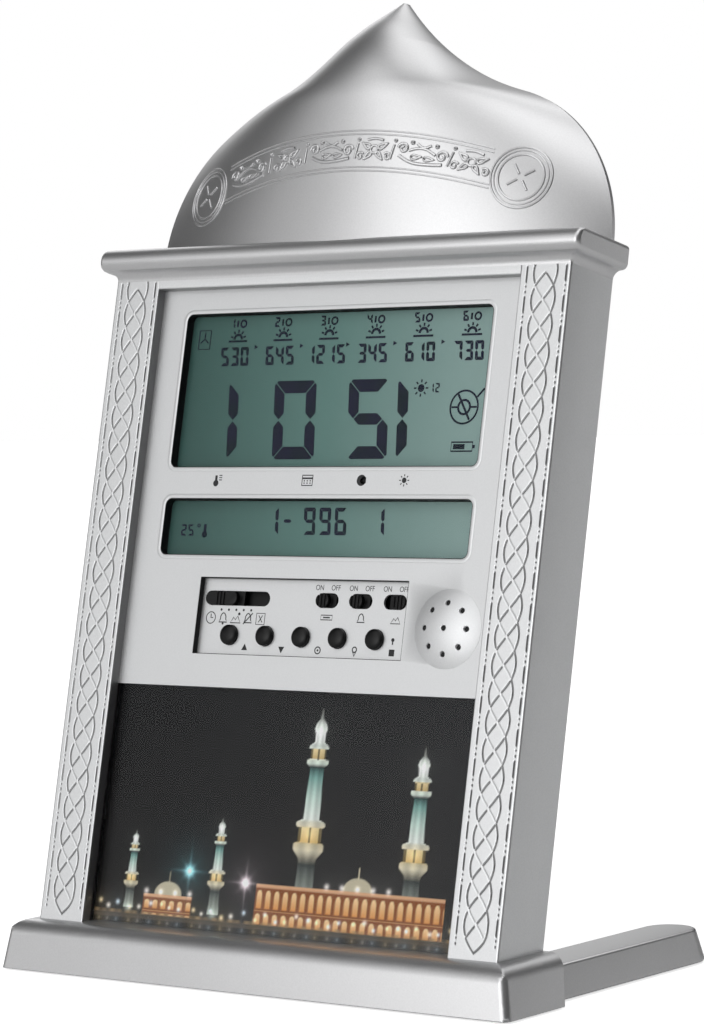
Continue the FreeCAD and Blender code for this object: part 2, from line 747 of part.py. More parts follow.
def board_components():
    """What stands on the back of the main board: two sealed chips, crystal, capacitor and two sockets."""
    left, right, low, high = main_board_edges()
    height = cover_front - board_back - component_clear
    pieces = []
    for across, radius in zip((left + chip_insets[0], right - chip_insets[1]), chip_radii):
        pieces.append(Part.makeCone(radius, radius * chip_crown, height / 2,
                                    Vector(across, board_back, high - chip_drop), BACK))
    crystal_half, crystal_low = crystal_size[0] / 2, low + crystal_rise
    pieces.append(box(-crystal_half, crystal_half, board_back, board_back + height,
                      crystal_low, crystal_low + crystal_size[1]))
    pieces.append(rod(right - capacitor_place[0], board_back, low + capacitor_place[1],
                      capacitor_radius, height, BACK))
    socket_low = low + socket_place[1]
    for start in (left + socket_place[0], right - socket_place[0] - socket_size[0]):
        pieces.append(box(start, start + socket_size[0], board_back, board_back + socket_size[2],
                          socket_low, socket_low + socket_size[1]))
    return Part.makeCompound([stand_up(piece) for piece in pieces])


def ribbon_cable():
    """The flat cable that joins the two boards: a low arch behind the gap between them."""
    upper = main_board_low + ribbon_lap
    lower = key_board_edges()[3] - ribbon_lap
    half, crest = ribbon_width / 2, board_back + ribbon_rise
    outer = box(-half, half, board_back, crest, lower - ribbon_wall, upper + ribbon_wall)
    inner = box(-ribbon_width, ribbon_width, board_back - OVER, crest - ribbon_wall, lower, upper)
    return stand_up(outer.cut(inner))


def tact_switches():
    """The push switches behind the buttons."""
    half = button_diameter / 2 + tact_margin
    bodies = []
    for across in button_places():
        bodies.append(stand_up(box(across - half, across + half, board_front - switch_height,
                                   board_front, button_row - half, button_row + half)))
    return Part.makeCompound(bodies)


def slide_switches():
    """The slide switches behind the slots."""
    along, rise = slide_switch_margin[0], slot_height / 2 + slide_switch_margin[1]
    bodies = []
    for low, high in [mode_slot] + switch_slots():
        bodies.append(stand_up(box(low - along, high + along, board_front - switch_height, board_front,
                                   slider_row - rise, slider_row + rise)))
    return Part.makeCompound(bodies)


# ---- controls ------------------------------------------------------------------------------------
def button(across):
    """A round button: domed cap, stem and a collar behind the panel."""
    front = field_face - button_proud
    collar = panel_back + slide_gap
    back = board_front - switch_height - slide_gap - button_travel
    radius = button_diameter / 2
    profile = [(0, front), (radius - 2 * button_round, front), (radius, front + button_round),
               (radius, collar), (button_flange / 2, collar),
               (button_flange / 2, collar + button_flange_wall),
               (radius / 2, collar + button_flange_wall), (radius / 2, back), (0, back)]
    return stand_up(revolve(profile, across, button_row))


def slide_knob(centre, length, ribs):
    """A slide knob: ribbed cap in the slot, a collar behind the panel and a stem to its switch."""
    front = field_face - knob_proud
    half = length / 2
    collar = panel_back + slide_gap
    height = slot_height - 2 * slide_gap
    cap = stadium(centre - half, centre + half, slider_row, height, front, collar + slide_gap)
    first = centre - knob_groove_pitch * (ribs - 1) / 2 - knob_groove / 2
    starts = [first + knob_groove_pitch * index for index in range(ribs)]
    grooves = [box(start, start + knob_groove, front - OVER, front + knob_groove_depth,
                   slider_row - slot_height, slider_row + slot_height) for start in starts]
    cap = cap.cut(Part.makeCompound(grooves))
    reach = half + knob_flange_lap
    rise = slot_height / 2 + knob_flange_rise
    flange = box(centre - reach, centre + reach, collar, collar + knob_flange_wall,
                 slider_row - rise, slider_row + rise)
    stem_half = knob_stem / 2
    stem = box(centre - stem_half, centre + stem_half, collar, board_front - switch_height - slide_gap,
               slider_row - stem_half, slider_row + stem_half)
    return stand_up(fuse([cap, flange, stem]))


def mode_knob_centre():
    return mode_slot[0] + slide_gap + mode_knob_length / 2


def switch_knob_centre(index):
    """X of a small knob's centre at the end of its slot where it rests."""
    low, high = switch_slots()[index]
    reach = switch_knob_length / 2 + slide_gap
    return low + reach if switch_rest[index] < 0 else high - reach


# ---- speaker -------------------------------------------------------------------------------------
def speaker_gasket():
    """The foam ring between the speaker and the panel."""
    inner = speaker_radius - gasket_width
    back = panel_back + gasket_wall
    return stand_up(revolve([(inner, panel_back), (speaker_radius, panel_back), (speaker_radius, back),
                             (inner, back)], speaker_across, speaker_up))


def speaker_basket():
    """The speaker's pressed steel basket, a stepped dish."""
    front = panel_back + gasket_wall
    back = front + basket_depth
    inner = speaker_radius - basket_rim
    return stand_up(revolve([
        (inner, front), (speaker_radius, front), (speaker_radius, front + basket_wall),
        (inner + basket_wall, front + basket_wall), (magnet_radius, back), (magnet_hole, back),
        (magnet_hole, back - basket_wall), (magnet_radius - basket_wall, back - basket_wall)],
        speaker_across, speaker_up))


def speaker_cone():
    """The paper cone with its dust cap."""
    front = panel_back + gasket_wall
    rim = speaker_radius - basket_rim
    wall = basket_wall
    return stand_up(revolve([
        (0, front + cone_depth - wall), (cone_cap, front + cone_depth), (rim - 2 * wall, front), (rim, front),
        (rim - cone_clear, front + cone_clear), (cone_cap, front + cone_depth + wall),
        (0, front + cone_depth)], speaker_across, speaker_up))


def speaker_magnet():
    """The magnet and its cup on the back of the basket."""
    front = panel_back + gasket_wall + basket_depth
    return stand_up(rod(speaker_across, front, speaker_up, magnet_radius, magnet_depth, BACK))


# ---- picture -------------------------------------------------------------------------------------
def picture_window():
    """The clear sheet over the picture, held between the housing and the card."""
    sheet = box(-panel_half, panel_half, panel_front, panel_front + picture_window_wall,
                -plinth_height, picture_height - joint_gap)
    return above_plinth(stand_up(sheet), joint_gap)


def picture_card():
    """The printed card behind the clear sheet."""
    half = panel_half - card_margin
    card = box(-half, half, panel_front + picture_window_wall, card_back, -plinth_height,
               picture_height - joint_gap)
    return above_plinth(stand_up(card), joint_gap)


# ---- rear cover and batteries --------------------------------------------------------------------
def rear_cover():
    """The back of the body, with the battery bay moulded into it."""
    half = cavity_half - joint_gap
    cover = box(-half, half, cover_front, body_depth, -plinth_height, cavity_top - joint_gap)
    rail_half = bay_half + rail_wall
    hull = box(-rail_half, rail_half, bay_floor_front, bay_skin, bay_low - bay_wall, bay_top + bay_wall)
    cover = cover.fuse(hull)
    cover = cover.cut(box(-bay_half, bay_half, bay_floor, bay_skin + OVER, bay_low, bay_top))
    cover = cover.cut(box(-bay_half, bay_half, bay_back, bay_skin + OVER, bay_low, bay_top + bay_wall + OVER))
    tongue_top = bay_back + door_tongue + 2 * slide_gap
    for sign in (-1, 1):
        near, far = sorted((sign * (bay_half - OVER), sign * (bay_half + rail_groove)))
        cover = cover.cut(box(near, far, bay_back, tongue_top, bay_low, bay_top + bay_wall + OVER))
    saddle = bay_low + bay_height / 2 - saddle_wall / 2
    cover = cover.fuse(box(-bay_half, bay_half, bay_floor - OVER / 2, bay_floor + cell_diameter / 4,
                           saddle, saddle + saddle_wall))
    cuts = []
    for across in (-boss_across(), boss_across()):
        for row in boss_rows:
            cuts.append(rod(across, cover_front - OVER, row, screw_diameter / 2 + hole_gap,
                            cover_wall + 2 * OVER, BACK))
            cuts.append(rod(across, body_depth - screw_head, row, screw_head_diameter / 2 + hole_gap,
                            screw_head + OVER, BACK))
    cover = cover.cut(Part.makeCompound(cuts)).removeSplitter()
    return above_plinth(stand_up(cover), joint_gap)


def battery_door():
    """The sliding door of the battery bay: a plate with side tongues and a ribbed thumb grip."""
    front = bay_back + slide_gap
    half = bay_half - slide_gap
    low, high = bay_low + slide_gap, bay_top + bay_wall
    door = box(-half, half, front, front + door_wall, low, high)
    reach = bay_half + rail_groove - slide_gap
    door = door.fuse(box(-reach, reach, front, front + door_tongue, low, high))
    skin = front + door_wall
    ribs = []
    for index in range(door_grip_ribs):
        level = low + door_grip_rise + door_grip_pitch * index
        ribs.append(box(-door_grip_half, door_grip_half, skin - door_grip_proud, skin + door_grip_proud,
                        level, level + door_grip_wall))
    return stand_up(fuse([door] + ribs))


def battery_row(index):
    """Z of a battery's axis: the lower one first."""
    pitch = cell_diameter + 2 * cell_clear
    return bay_low + pitch * (index + 0.5)


def battery_axis_depth():
    return bay_floor + cell_clear + cell_diameter / 2


def battery(index):
    """An AA cell lying across the bay, its nub towards its plate contact; the upper one is reversed."""
    sign = 1 if index == 0 else -1
    tip = bay_half - contact_wall - joint_gap
    depth, level = battery_axis_depth(), battery_row(index)
    nub = rod(sign * (tip - cell_nub), depth, level, cell_nub_diameter / 2, cell_nub, ACROSS * sign)
    can = rod(sign * (tip - cell_nub - cell_length), depth, level, cell_diameter / 2, cell_length,
              ACROSS * sign)
    return stand_up(can.fuse(nub).removeSplitter())


def contact_plates():
    """The nickel-plated contact plates at both ends of the bay."""
    side = cell_diameter * contact_share
    plates = []
    for index in range(2):
        for sign in (-1, 1):
            near, far = sorted((sign * (bay_half - contact_wall), sign * bay_half))
            depth, level = battery_axis_depth(), battery_row(index)
            plates.append(stand_up(box(near, far, depth - side / 2, depth + side / 2,
                                       level - side / 2, level + side / 2)))
    return Part.makeCompound(plates)


def contact_springs():
    """The springs at the flat end of each cell: narrowing turns of wire, pressed on each other."""
    springs = []
    for index in range(2):
        sign = -1 if index == 0 else 1
        depth, level = battery_axis_depth(), battery_row(index)
        start = bay_half - contact_wall - joint_gap - spring_wire
        turns = [Part.makeTorus(spring_radius - spring_step * turn, spring_wire,
                                Vector(sign * (start - spring_pitch * turn), depth, level), ACROSS)
                 for turn in range(spring_turns)]
        springs.append(stand_up(fuse(turns)))
    return Part.makeCompound(springs)


# ---- fasteners -----------------------------------------------------------------------------------
def housing_screws():
    """The self-tapping screws of the rear cover and the dome."""
    screws = []
    for across in (-boss_across(), boss_across()):
        for row in boss_rows:
            screws.append(stand_up(screw(across, body_depth - screw_head, row, BACK * -1, screw_diameter,
                                         screw_length - blind, screw_head_diameter, screw_head)))
    for across, _ in crown_bosses():
        screws.append(stand_up(screw(across, crown_boss_depth(), cavity_top, UP, screw_diameter,
                                     screw_length, screw_head_diameter, screw_head)))
    return Part.makeCompound(screws)


def board_screws():
    """The short screws of the two boards."""
    screws = []
    for across, level in list(key_posts()) + main_posts():
        screws.append(stand_up(screw(across, board_back, level, BACK * -1, board_screw_diameter,
                                     board_screw_length - 0.2, board_screw_head_diameter, board_screw_head)))
    return Part.makeCompound(screws)


def base_screws():
    """The screws that pull the body and the legs onto the plinth, driven from below."""
    screws = []
    for sign in (-1, 1):
        screws.append(screw(sign * base_screw_across(), body_foot + base_screw[1],
                            plinth_height - plinth_wall,
                            UP, screw_diameter, screw_length - blind / 2, screw_head_diameter, screw_head))
        screws.append(screw(sign * leg_screw_across(), leg_screw_back(), tenon_low(), UP, screw_diameter,
                            plinth_height - blind - tenon_low(), screw_head_diameter, screw_head))
    return Part.makeCompound(screws)


# ---- plinth and legs -----------------------------------------------------------------------------
def plinth_back(level):
    """Y of the plinth's back face, which leans with the body, at a height above the table."""
    body_back_foot = body_foot + body_depth / math.cos(lean)
    return body_back_foot + plinth_back_lap - (plinth_height - level) * math.tan(lean)


def plinth_block(inset, low, high):
    """The plinth's form between two levels, drawn in by a wall's thickness."""
    wires = []
    slope = math.tan(math.radians(plinth_draft))
    for level in (low, high):
        rise = level - foot_proud
        half = plinth_width / 2 - slope * rise - inset
        front = body_foot - plinth_reach + slope * rise + inset
        back = plinth_back(level) - inset
        wires.append(Part.makePolygon([
            Vector(-half, front, level), Vector(half, front, level), Vector(half, back, level),
            Vector(-half, back, level), Vector(-half, front, level)]))
    return Part.makeLoft(wires, True, True)


def leg_centre():
    return plinth_width / 2 - leg_inset - leg_width / 2


def leg_screw_across():
    return base_screw_across() - leg_screw[0]


def leg_screw_back():
    return plinth_back(foot_proud) - leg_screw[1]


def tenon_low():
    return foot_proud + tenon_rise


def tenon(sign, gap):
    """The tongue by which a leg enters the back of the plinth, or the hole for it."""
    half = leg_width / 2 - tenon_shoulder
    back = plinth_back(foot_proud) + leg_wall
    return box(sign * leg_centre() - half - gap, sign * leg_centre() + half + gap,
               plinth_back(foot_proud) - tenon_reach - gap, back + gap, tenon_low() - gap,
               tenon_low() + tenon_wall + gap)


def base_plinth():
    """The plinth: a rounded bar, hollow underneath, with ribs, foot seats and screw seats."""
    form = plinth_block(0, foot_proud, plinth_height)
    ahead = body_foot + body_depth / 2
    upper = [edge for edge in form.Edges if abs(edge.BoundBox.ZMin - plinth_height) < TINY
             and (edge.CenterOfMass.y < ahead or abs(edge.CenterOfMass.x) > plinth_width / 4)]
    corners = [edge for edge in form.Edges if edge.BoundBox.ZLength > plinth_height / 2
               and edge.CenterOfMass.y < ahead]
    outer = form.makeFillet(plinth_round, upper).common(form.makeFillet(plinth_corner, corners))
    ceiling = plinth_height - plinth_wall
    hollow = plinth_block(plinth_wall, -OVER, ceiling)
    shell = outer.cut(hollow)
    additions = []
    for across in (-plinth_rib_pitch, 0, plinth_rib_pitch):
        additions.append(box(across - rib_wall / 2, across + rib_wall / 2, body_foot - plinth_reach,
                             plinth_back(0), 2 * foot_proud + 1, ceiling + 1))
    for sign in (-1, 1):
        x, y = front_foot_place(sign)
        additions.append(rod(x, y, foot_proud, foot_radius + foot_seat_wall, ceiling, UP))
        additions.append(rod(sign * leg_screw_across(), leg_screw_back(), tenon_low() + tenon_wall,
                             leg_boss_radius, ceiling - tenon_low() - tenon_wall + 1, UP))
    block = plinth_block(plinth_wall / 2, foot_proud, plinth_height - plinth_wall / 2)
    additions = [piece.common(block) for piece in additions]
    shell = fuse([shell] + additions)
    cuts = []
    for sign in (-1, 1):
        x, y = front_foot_place(sign)
        cuts.append(rod(x, y, -OVER, foot_radius + joint_gap, foot_wall + OVER, UP))
        cuts.append(rod(sign * base_screw_across(), body_foot + base_screw[1], ceiling - OVER,
                        screw_diameter / 2 + hole_gap, plinth_wall + 2 * OVER, UP))
        cuts.append(tenon(sign, joint_gap))
        cuts.append(rod(sign * leg_screw_across(), leg_screw_back(), tenon_low(),
                        screw_diameter / 2 + pilot_gap, plinth_height - tenon_low() - blind / 2, UP))
    return shell.cut(Part.makeCompound(cuts)).removeSplitter()


def front_foot_place(sign):
    return sign * (plinth_width / 2 - front_foot[0]), body_foot - plinth_reach + front_foot[1]


def leg_block(sign, inset, low, high):
    """A leg's form between two levels: straight sides and a round end, drafted all round."""
    wires = []
    slope = math.tan(math.radians(leg_draft))
    centre = sign * leg_centre()
    start = plinth_back(0) - 2 * OVER
    end = body_foot + leg_reach
    for level in (low, high):
        half = leg_width / 2 - slope * (level - foot_proud) - inset
        wires.append(Part.Wire([
            line(Vector(centre - half, start, level), Vector(centre + half, start, level)),
            line(Vector(centre + half, start, level), Vector(centre + half, end, level)),
            arc(Vector(centre + half, end, level), Vector(centre, end + half, level),
                Vector(centre - half, end, level)),
            line(Vector(centre - half, end, level), Vector(centre - half, start, level))]))
    return Part.makeLoft(wires, True, True)


def rear_leg(sign):
    """A rear leg: hollow underneath, with cross ribs, a foot seat and a tenon into the plinth."""
    outer = leg_block(sign, 0, foot_proud, leg_height)
    tops = [edge for edge in outer.Edges
            if abs(edge.BoundBox.ZMin - leg_height) < TINY and edge.CenterOfMass.y > plinth_back(0)]
    outer = outer.makeFillet(leg_round, tops)
    ceiling = leg_height - leg_wall
    hollow = leg_block(sign, leg_wall, -OVER, ceiling)
    start = plinth_back(0) + leg_wall
    hollow = hollow.common(box(-plinth_width, plinth_width, start, plinth_width, -OVER, ceiling))
    leg = outer.cut(hollow)
    centre = sign * leg_centre()
    end = body_foot + leg_reach
    additions = [rod(centre, end, foot_proud, foot_radius + foot_seat_wall, ceiling, UP)]
    span = end - start
    for index in range(leg_rib_count):
        along = start + span * (index + 1) / (leg_rib_count + 1)
        additions.append(box(centre - leg_width, centre + leg_width, along, along + rib_wall,
                             foot_proud + 1, ceiling + 0.5))
    block = leg_block(sign, leg_wall / 2, foot_proud, leg_height - leg_wall / 2)
    leg = fuse([leg] + [piece.common(block) for piece in additions])
    leg = leg.cut(plinth_block(0, -OVER, plinth_height + OVER))
    leg = leg.fuse(tenon(sign, 0)).removeSplitter()
    leg = leg.cut(rod(centre, end, -OVER, foot_radius + joint_gap, foot_wall + OVER, UP))
    return leg.cut(rod(sign * leg_screw_across(), leg_screw_back(), -OVER, screw_diameter / 2 + hole_gap,
                       plinth_height, UP))


def rubber_feet():
    """Four round rubber feet, let into their seats."""
    places = [front_foot_place(-1), front_foot_place(1)]
    places += [(sign * leg_centre(), body_foot + leg_reach) for sign in (-1, 1)]
    return Part.makeCompound([rod(x, y, 0, foot_radius, foot_wall, UP) for x, y in places])


# ---- all pieces ----------------------------------------------------------------------------------
def pieces():
    """Every node and its solid."""
    made = {
        "front_housing": front_housing(),
        "dome_crown": dome_crown(),
        "dome_back_plate": dome_back_plate(),
        "face_panel": face_panel(),
        "clock_lens": lens(clock_window),
        "date_lens": lens(date_window),
        "clock_display": display_cell(clock_window),
        "date_display": display_cell(date_window),
        "zebra_strips": zebra_strips(),
        "display_frame": display_frame(),
        "main_board": board(main_board_edges(), main_posts()),
        "board_components": board_components(),
        "key_board": board(key_board_edges(), key_posts()),
        "ribbon_cable": ribbon_cable(),
        "tact_switches": tact_switches(),
        "slide_switches": slide_switches(),
        "mode_knob": slide_knob(mode_knob_centre(), mode_knob_length, 3),
        "speaker_gasket": speaker_gasket(),
        "speaker_basket": speaker_basket(),
        "speaker_cone": speaker_cone(),
        "speaker_magnet": speaker_magnet(),
        "picture_window": picture_window(),
        "picture_card": picture_card(),
        "rear_cover": rear_cover(),
        "battery_door": battery_door(),
        "battery_lower": battery(0),
        "battery_upper": battery(1),
        "contact_plates": contact_plates(),
        "contact_springs": contact_springs(),
        "housing_screws": housing_screws(),
        "board_screws": board_screws(),
        "base_screws": base_screws(),
        "base_plinth": base_plinth(),
        "leg_left": rear_leg(-1),
        "leg_right": rear_leg(1),
        "rubber_feet": rubber_feet(),
    }
    for name, across in zip(button_names, button_places()):
        made["button_" + name] = button(across)
    for index, name in enumerate(("left", "middle", "right")):
        made["switch_knob_" + name] = slide_knob(switch_knob_centre(index), switch_knob_length, 3)
    return made


os.makedirs("parts", exist_ok=True)
for name, shape in pieces().items():
    shape.exportStep(os.path.join("parts", name + ".step"))
    print(name, "solids", len(shape.Solids), "volume", round(shape.Volume, 2), "valid", shape.isValid())
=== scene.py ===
import json
import math

import bmesh
import bpy
import numpy as np
from mathutils import Matrix, Vector

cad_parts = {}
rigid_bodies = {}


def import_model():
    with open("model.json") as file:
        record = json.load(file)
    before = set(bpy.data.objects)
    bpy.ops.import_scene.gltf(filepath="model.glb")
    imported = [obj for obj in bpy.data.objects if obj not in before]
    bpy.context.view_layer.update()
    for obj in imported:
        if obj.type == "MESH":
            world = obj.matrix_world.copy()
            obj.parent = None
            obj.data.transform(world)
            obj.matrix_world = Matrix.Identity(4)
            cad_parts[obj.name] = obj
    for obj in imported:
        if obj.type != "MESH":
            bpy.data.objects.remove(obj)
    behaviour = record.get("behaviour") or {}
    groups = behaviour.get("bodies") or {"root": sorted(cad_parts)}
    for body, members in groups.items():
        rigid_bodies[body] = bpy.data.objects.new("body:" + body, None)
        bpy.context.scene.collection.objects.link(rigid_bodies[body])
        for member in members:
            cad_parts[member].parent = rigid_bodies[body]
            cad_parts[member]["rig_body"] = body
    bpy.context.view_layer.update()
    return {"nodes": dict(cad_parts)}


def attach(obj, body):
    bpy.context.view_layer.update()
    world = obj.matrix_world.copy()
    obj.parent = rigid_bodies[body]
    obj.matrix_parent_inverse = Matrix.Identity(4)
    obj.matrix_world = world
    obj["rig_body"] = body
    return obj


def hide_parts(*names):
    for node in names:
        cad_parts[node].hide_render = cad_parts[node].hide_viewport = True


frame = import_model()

MM = 0.001
NODES = frame["nodes"]

# ---- sizes of the clock's body, mm -----------------------------------------------------------------
LEAN = math.radians(13.0)
PLINTH_HEIGHT = 10.9
BODY_FOOT = -36.3          # world Y of the pilasters' foot
HALF_WIDTH = 61.0
BODY_DEPTH = 15.4
SIDE_WALL = 2.0
TOP_WALL = 2.0
RECESS_HALF = 48.6
RECESS_DEPTH = 2.4
RECESS_TOP = 139.8
CORNICE_TOP = 148.9
CORNICE_REACH = 3.3
BEAD_RADIUS = 2.8
COVE_RADIUS = 2.3
SIDE_COVE = 2.0
SIDE_ROUND = 1.3
CORNER_ROUND = 1.1
BEAD_MID = CORNICE_TOP - BEAD_RADIUS
BEAD_CENTRE = CORNICE_REACH - BEAD_RADIUS       # how far the bead's centre stands ahead of w = 0
COVE_TOP = BEAD_MID - math.sqrt(BEAD_RADIUS ** 2 - (COVE_RADIUS - BEAD_CENTRE) ** 2)
COVE_LOW = COVE_TOP - COVE_RADIUS
PILASTER_MID = (HALF_WIDTH + RECESS_HALF) / 2
FRONT_EDGE = 0.45           # rounded outer edge of the pilasters
INNER_EDGE = 0.25

# ---- dome ------------------------------------------------------------------------------------------
DOME_HALF = 60.4
DOME_HEIGHT = 56.4
SHOULDER_RADIUS = 36.0
SHOULDER_TURN = math.radians(74.0)
TIP_HALF = 0.45
TIP_DEPTH = 1.75
DOME_BULGE = 17.6
DOME_FOOT = 0.65            # how far the dome's foot reaches down over the bead
CREST_FALL = 25.3
CREST_TURN = math.radians(50.0)
DOME_RIM = 1.0
DOME_WALL = 2.0
DOME_NECK = 36              # from here up the rows draw closer
DOME_CAVITY_TOP = 48.0      # above this level the dome is solid

# ---- planes of the face, mm behind the pilaster faces ----------------------------------------------
PANEL = 2.4
FIELD = 3.8                 # sunk control field
WINDOW_FRONT = 3.4          # front of the display windows
WINDOW_WALL = 0.8
LENS_BACK = 4.4
CELL_FRONT = 4.45
CARD_FRONT = 3.42
CARD_BACK = 3.7
PRINT = 0.02                # how far printing stands on what carries it


# ---- mesh helpers ----------------------------------------------------------------------------------
def stand(u, w, v):
    """World metres of body-frame millimetres: (u, w, v) turned back by the lean about the foot."""
    u, w, v = np.broadcast_arrays(*(np.asarray(a, float) for a in (u, w, v)))
    cosine, sine = math.cos(LEAN), math.sin(LEAN)
    return MM * np.stack([u, BODY_FOOT + w * cosine + v * sine,
                          PLINTH_HEIGHT + v * cosine - w * sine], -1)


def skin(points, round_path=False, caps=False):
    """One surface from a grid of points: vertices, quads and end faces.

    Corner (i, j) joins (i+1, j), (i+1, j+1) and (i, j+1); round_path joins the last column to the
    first, and caps closes the first and the last row with one face each. The faces are turned
    outwards: the volume that they enclose, a sixth of the sum of a.(b x c) over their triangles
    about their middle, comes out positive.
    """
    rows, columns = points.shape[:2]
    index = np.arange(rows * columns).reshape(rows, columns)
    start = index if round_path else index[:, :-1]
    end = np.roll(index, -1, 1) if round_path else index[:, 1:]
    quads = np.stack([start[:-1], start[1:], end[1:], end[:-1]], -1).reshape(-1, 4)
    ends = [index[0], index[-1][::-1]] if caps else []
    corners = points.reshape(-1, 3)
    around = corners - corners.mean(0)
    fans = [quads[:, [0, 1, 2]], quads[:, [0, 2, 3]]]
    fans += [np.stack([np.full(len(e) - 2, e[0]), e[1:-1], e[2:]], -1) for e in ends]
    a, b, c = (around[np.concatenate(fans)[:, k]] for k in range(3))
    if (a * np.cross(b, c)).sum() < 0:
        quads, ends = quads[:, ::-1], [e[::-1] for e in ends]
    return corners, quads, ends


def piece(name, body, finish, skins, stands_for=(), crease=32.0, bevel=0.0):
    """One object from several surfaces, smooth but for edges that turn by more than crease degrees."""
    offsets = np.cumsum([0] + [len(s[0]) for s in skins])
    corners = np.concatenate([s[0] for s in skins])
    quads = np.concatenate([s[1] + o for s, o in zip(skins, offsets)])
    ends = [e + o for s, o in zip(skins, offsets) for e in s[2]]
    loops = np.concatenate([quads.ravel()] + ends).astype(np.int32)
    lengths = np.array([4] * len(quads) + [len(e) for e in ends])
    mesh = bpy.data.meshes.new(name)
    mesh.vertices.add(len(corners))
    mesh.vertices.foreach_set("co", corners.astype(np.float32).ravel())
    mesh.loops.add(len(loops))
    mesh.loops.foreach_set("vertex_index", loops)
    mesh.polygons.add(len(lengths))
    mesh.polygons.foreach_set("loop_start", (np.cumsum(lengths) - lengths).astype(np.int32))
    mesh.update(calc_edges=True)
    mesh.validate()
    return settle(name, mesh, body, finish, stands_for, crease, bevel)


def settle(name, mesh, body, finish, stands_for=(), crease=32.0, bevel=0.0):
    """Links a finished mesh as a piece: its shading, material, rounded edges and body, and hides the nodes
    that it stands for.
    """
    mesh.shade_smooth()
    mesh.set_sharp_from_angle(angle=math.radians(crease))
    mesh.materials.clear()
    mesh.materials.append(finish)
    made = bpy.data.objects.new(name, mesh)
    bpy.context.scene.collection.objects.link(made)
    if bevel:
        rounding = made.modifiers.new("rounded edges", "BEVEL")
        rounding.width = bevel * MM
        rounding.segments = 3
        rounding.limit_method = "ANGLE"
        rounding.angle_limit = math.radians(crease)
        rounding.use_clamp_overlap = False
        rounding.harden_normals = True
    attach(made, body)
    for node in stands_for:
        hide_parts(node)
    return made


def dressed(node, finish, crease=32.0, bevel=0.0, merge_flat=True):
    """A copy of a node's solid with its doubles merged and its flat faces joined, so that its round
    faces shade smoothly and its edges can be rounded; it stands for the node."""
    mesh = NODES[node].data.copy()
    work = bmesh.new()
    work.from_mesh(mesh)
    bmesh.ops.remove_doubles(work, verts=work.verts, dist=0.002 * MM)
    if merge_flat:
        bmesh.ops.dissolve_limit(work, angle_limit=math.radians(0.4), verts=work.verts, edges=work.edges)
    work.to_mesh(mesh)
    work.free()
    return settle(node + "_shell", mesh, NODES[node]["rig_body"], finish, (node,), crease, bevel)


def hoop(ring):
    """A surface from a grid of points that closes on itself both ways, such as a ring."""
    corners, quads, _ = skin(np.concatenate([ring, ring[:1]]), True)
    count = len(corners) - ring.shape[1]
    return corners[:count], quads % count, []


def rounded_outline(half, low, high, corner, out=0.0):
    """(u, v) points of an upright rectangle with corner arcs, moved outwards by out; u = +-half."""
    angle = (np.arange(4)[:, None] * math.pi / 2 + np.linspace(0, math.pi / 2, 9)[None]).ravel()
    right = np.repeat([1, -1, -1, 1], 9)
    top = np.repeat([1, 1, -1, -1], 9)
    u = right * (half - corner) + (corner + out) * np.cos(angle)
    v = (low + high) / 2 + top * ((high - low) / 2 - corner) + (corner + out) * np.sin(angle)
    return np.stack([u, v], -1)


def opening_ring(u_mid, half, low, high, corner, outs, depths):
    """A ring round an opening: the section (outs, depths), out from the opening's edge and w, carried
    round the rounded rectangle."""
    around = np.stack([rounded_outline(half, low, high, corner, out) for out in outs], 1)
    return hoop(stand(u_mid + around[..., 0], np.broadcast_to(depths, around.shape[:2]), around[..., 1]))


def box_skin(u_low, u_high, w_low, w_high, v_low, v_high):
    """A block in the body frame: two rows, its foot and its head, of four corners."""
    u = np.array([u_low, u_high, u_high, u_low])
    w = np.array([w_low, w_low, w_high, w_high])
    return skin(np.stack([stand(u, w, v_low), stand(u, w, v_high)]), True, True)


def mark(outline, front, back):
    """A printed patch: its outline, (u, v) points, carried from the front plane to the back one."""
    u, v = np.asarray(outline, float).T
    return skin(np.stack([stand(u, front, v), stand(u, back, v)]), True, True)


def directions(path, closed):
    """Unit directions at a path's points, each from its neighbours' difference; a closed path joins
    its end to its start."""
    along = np.roll(path, -1, 0) - np.roll(path, 1, 0) if closed else np.gradient(path, axis=0)
    return along / np.linalg.norm(along, axis=1, keepdims=True)


def stroke(path, width, front, back, closed=False):
    """A printed line: a flat rectangular section, width across, carried along (u, v) points and
    square to the path's direction."""
    along = directions(path, closed)
    side = np.stack([-along[:, 1], along[:, 0]], -1) * width / 2
    edges = ((path + side, front), (path - side, front), (path - side, back), (path + side, back))
    ring = np.stack([stand(edge[:, 0], plane, edge[:, 1]) for edge, plane in edges], 1)
    return hoop(ring) if closed else skin(ring, True, True)


def circle(u, v, radius, count=28, start=0.0, turn=2 * math.pi):
    """Points of a circle, or of an arc of it when turn is less than a whole one."""
    whole = abs(turn) >= 2 * math.pi
    angle = start + np.linspace(0, turn, count, endpoint=not whole)
    return np.stack([u + radius * np.cos(angle), v + radius * np.sin(angle)], -1)


def root(square):
    """Square root, and 0 of what is below 0."""
    return np.sqrt(np.maximum(square, 0))


# ---- materials -------------------------------------------------------------------------------------
def srgb(text):
    """Linear colour, with alpha 1, of an sRGB hex value such as C8C8C8."""
    parts = [int(text[k:k + 2], 16) / 255 for k in (0, 2, 4)]
    return tuple(p / 12.92 if p <= 0.04045 else ((p + 0.055) / 1.055) ** 2.4 for p in parts) + (1.0,)


def add(tree, kind, inputs=None, **properties):
    """Adds one node; each of its inputs is given a value, or the output that it is linked to."""
    made = tree.nodes.new("ShaderNode" + kind)
    for key, value in properties.items():
        setattr(made, key, value)
    for key, value in (inputs or {}).items():
        if isinstance(value, bpy.types.NodeSocket):
            tree.links.new(value, made.inputs[key])
        else:
            made.inputs[key].default_value = value
    return made


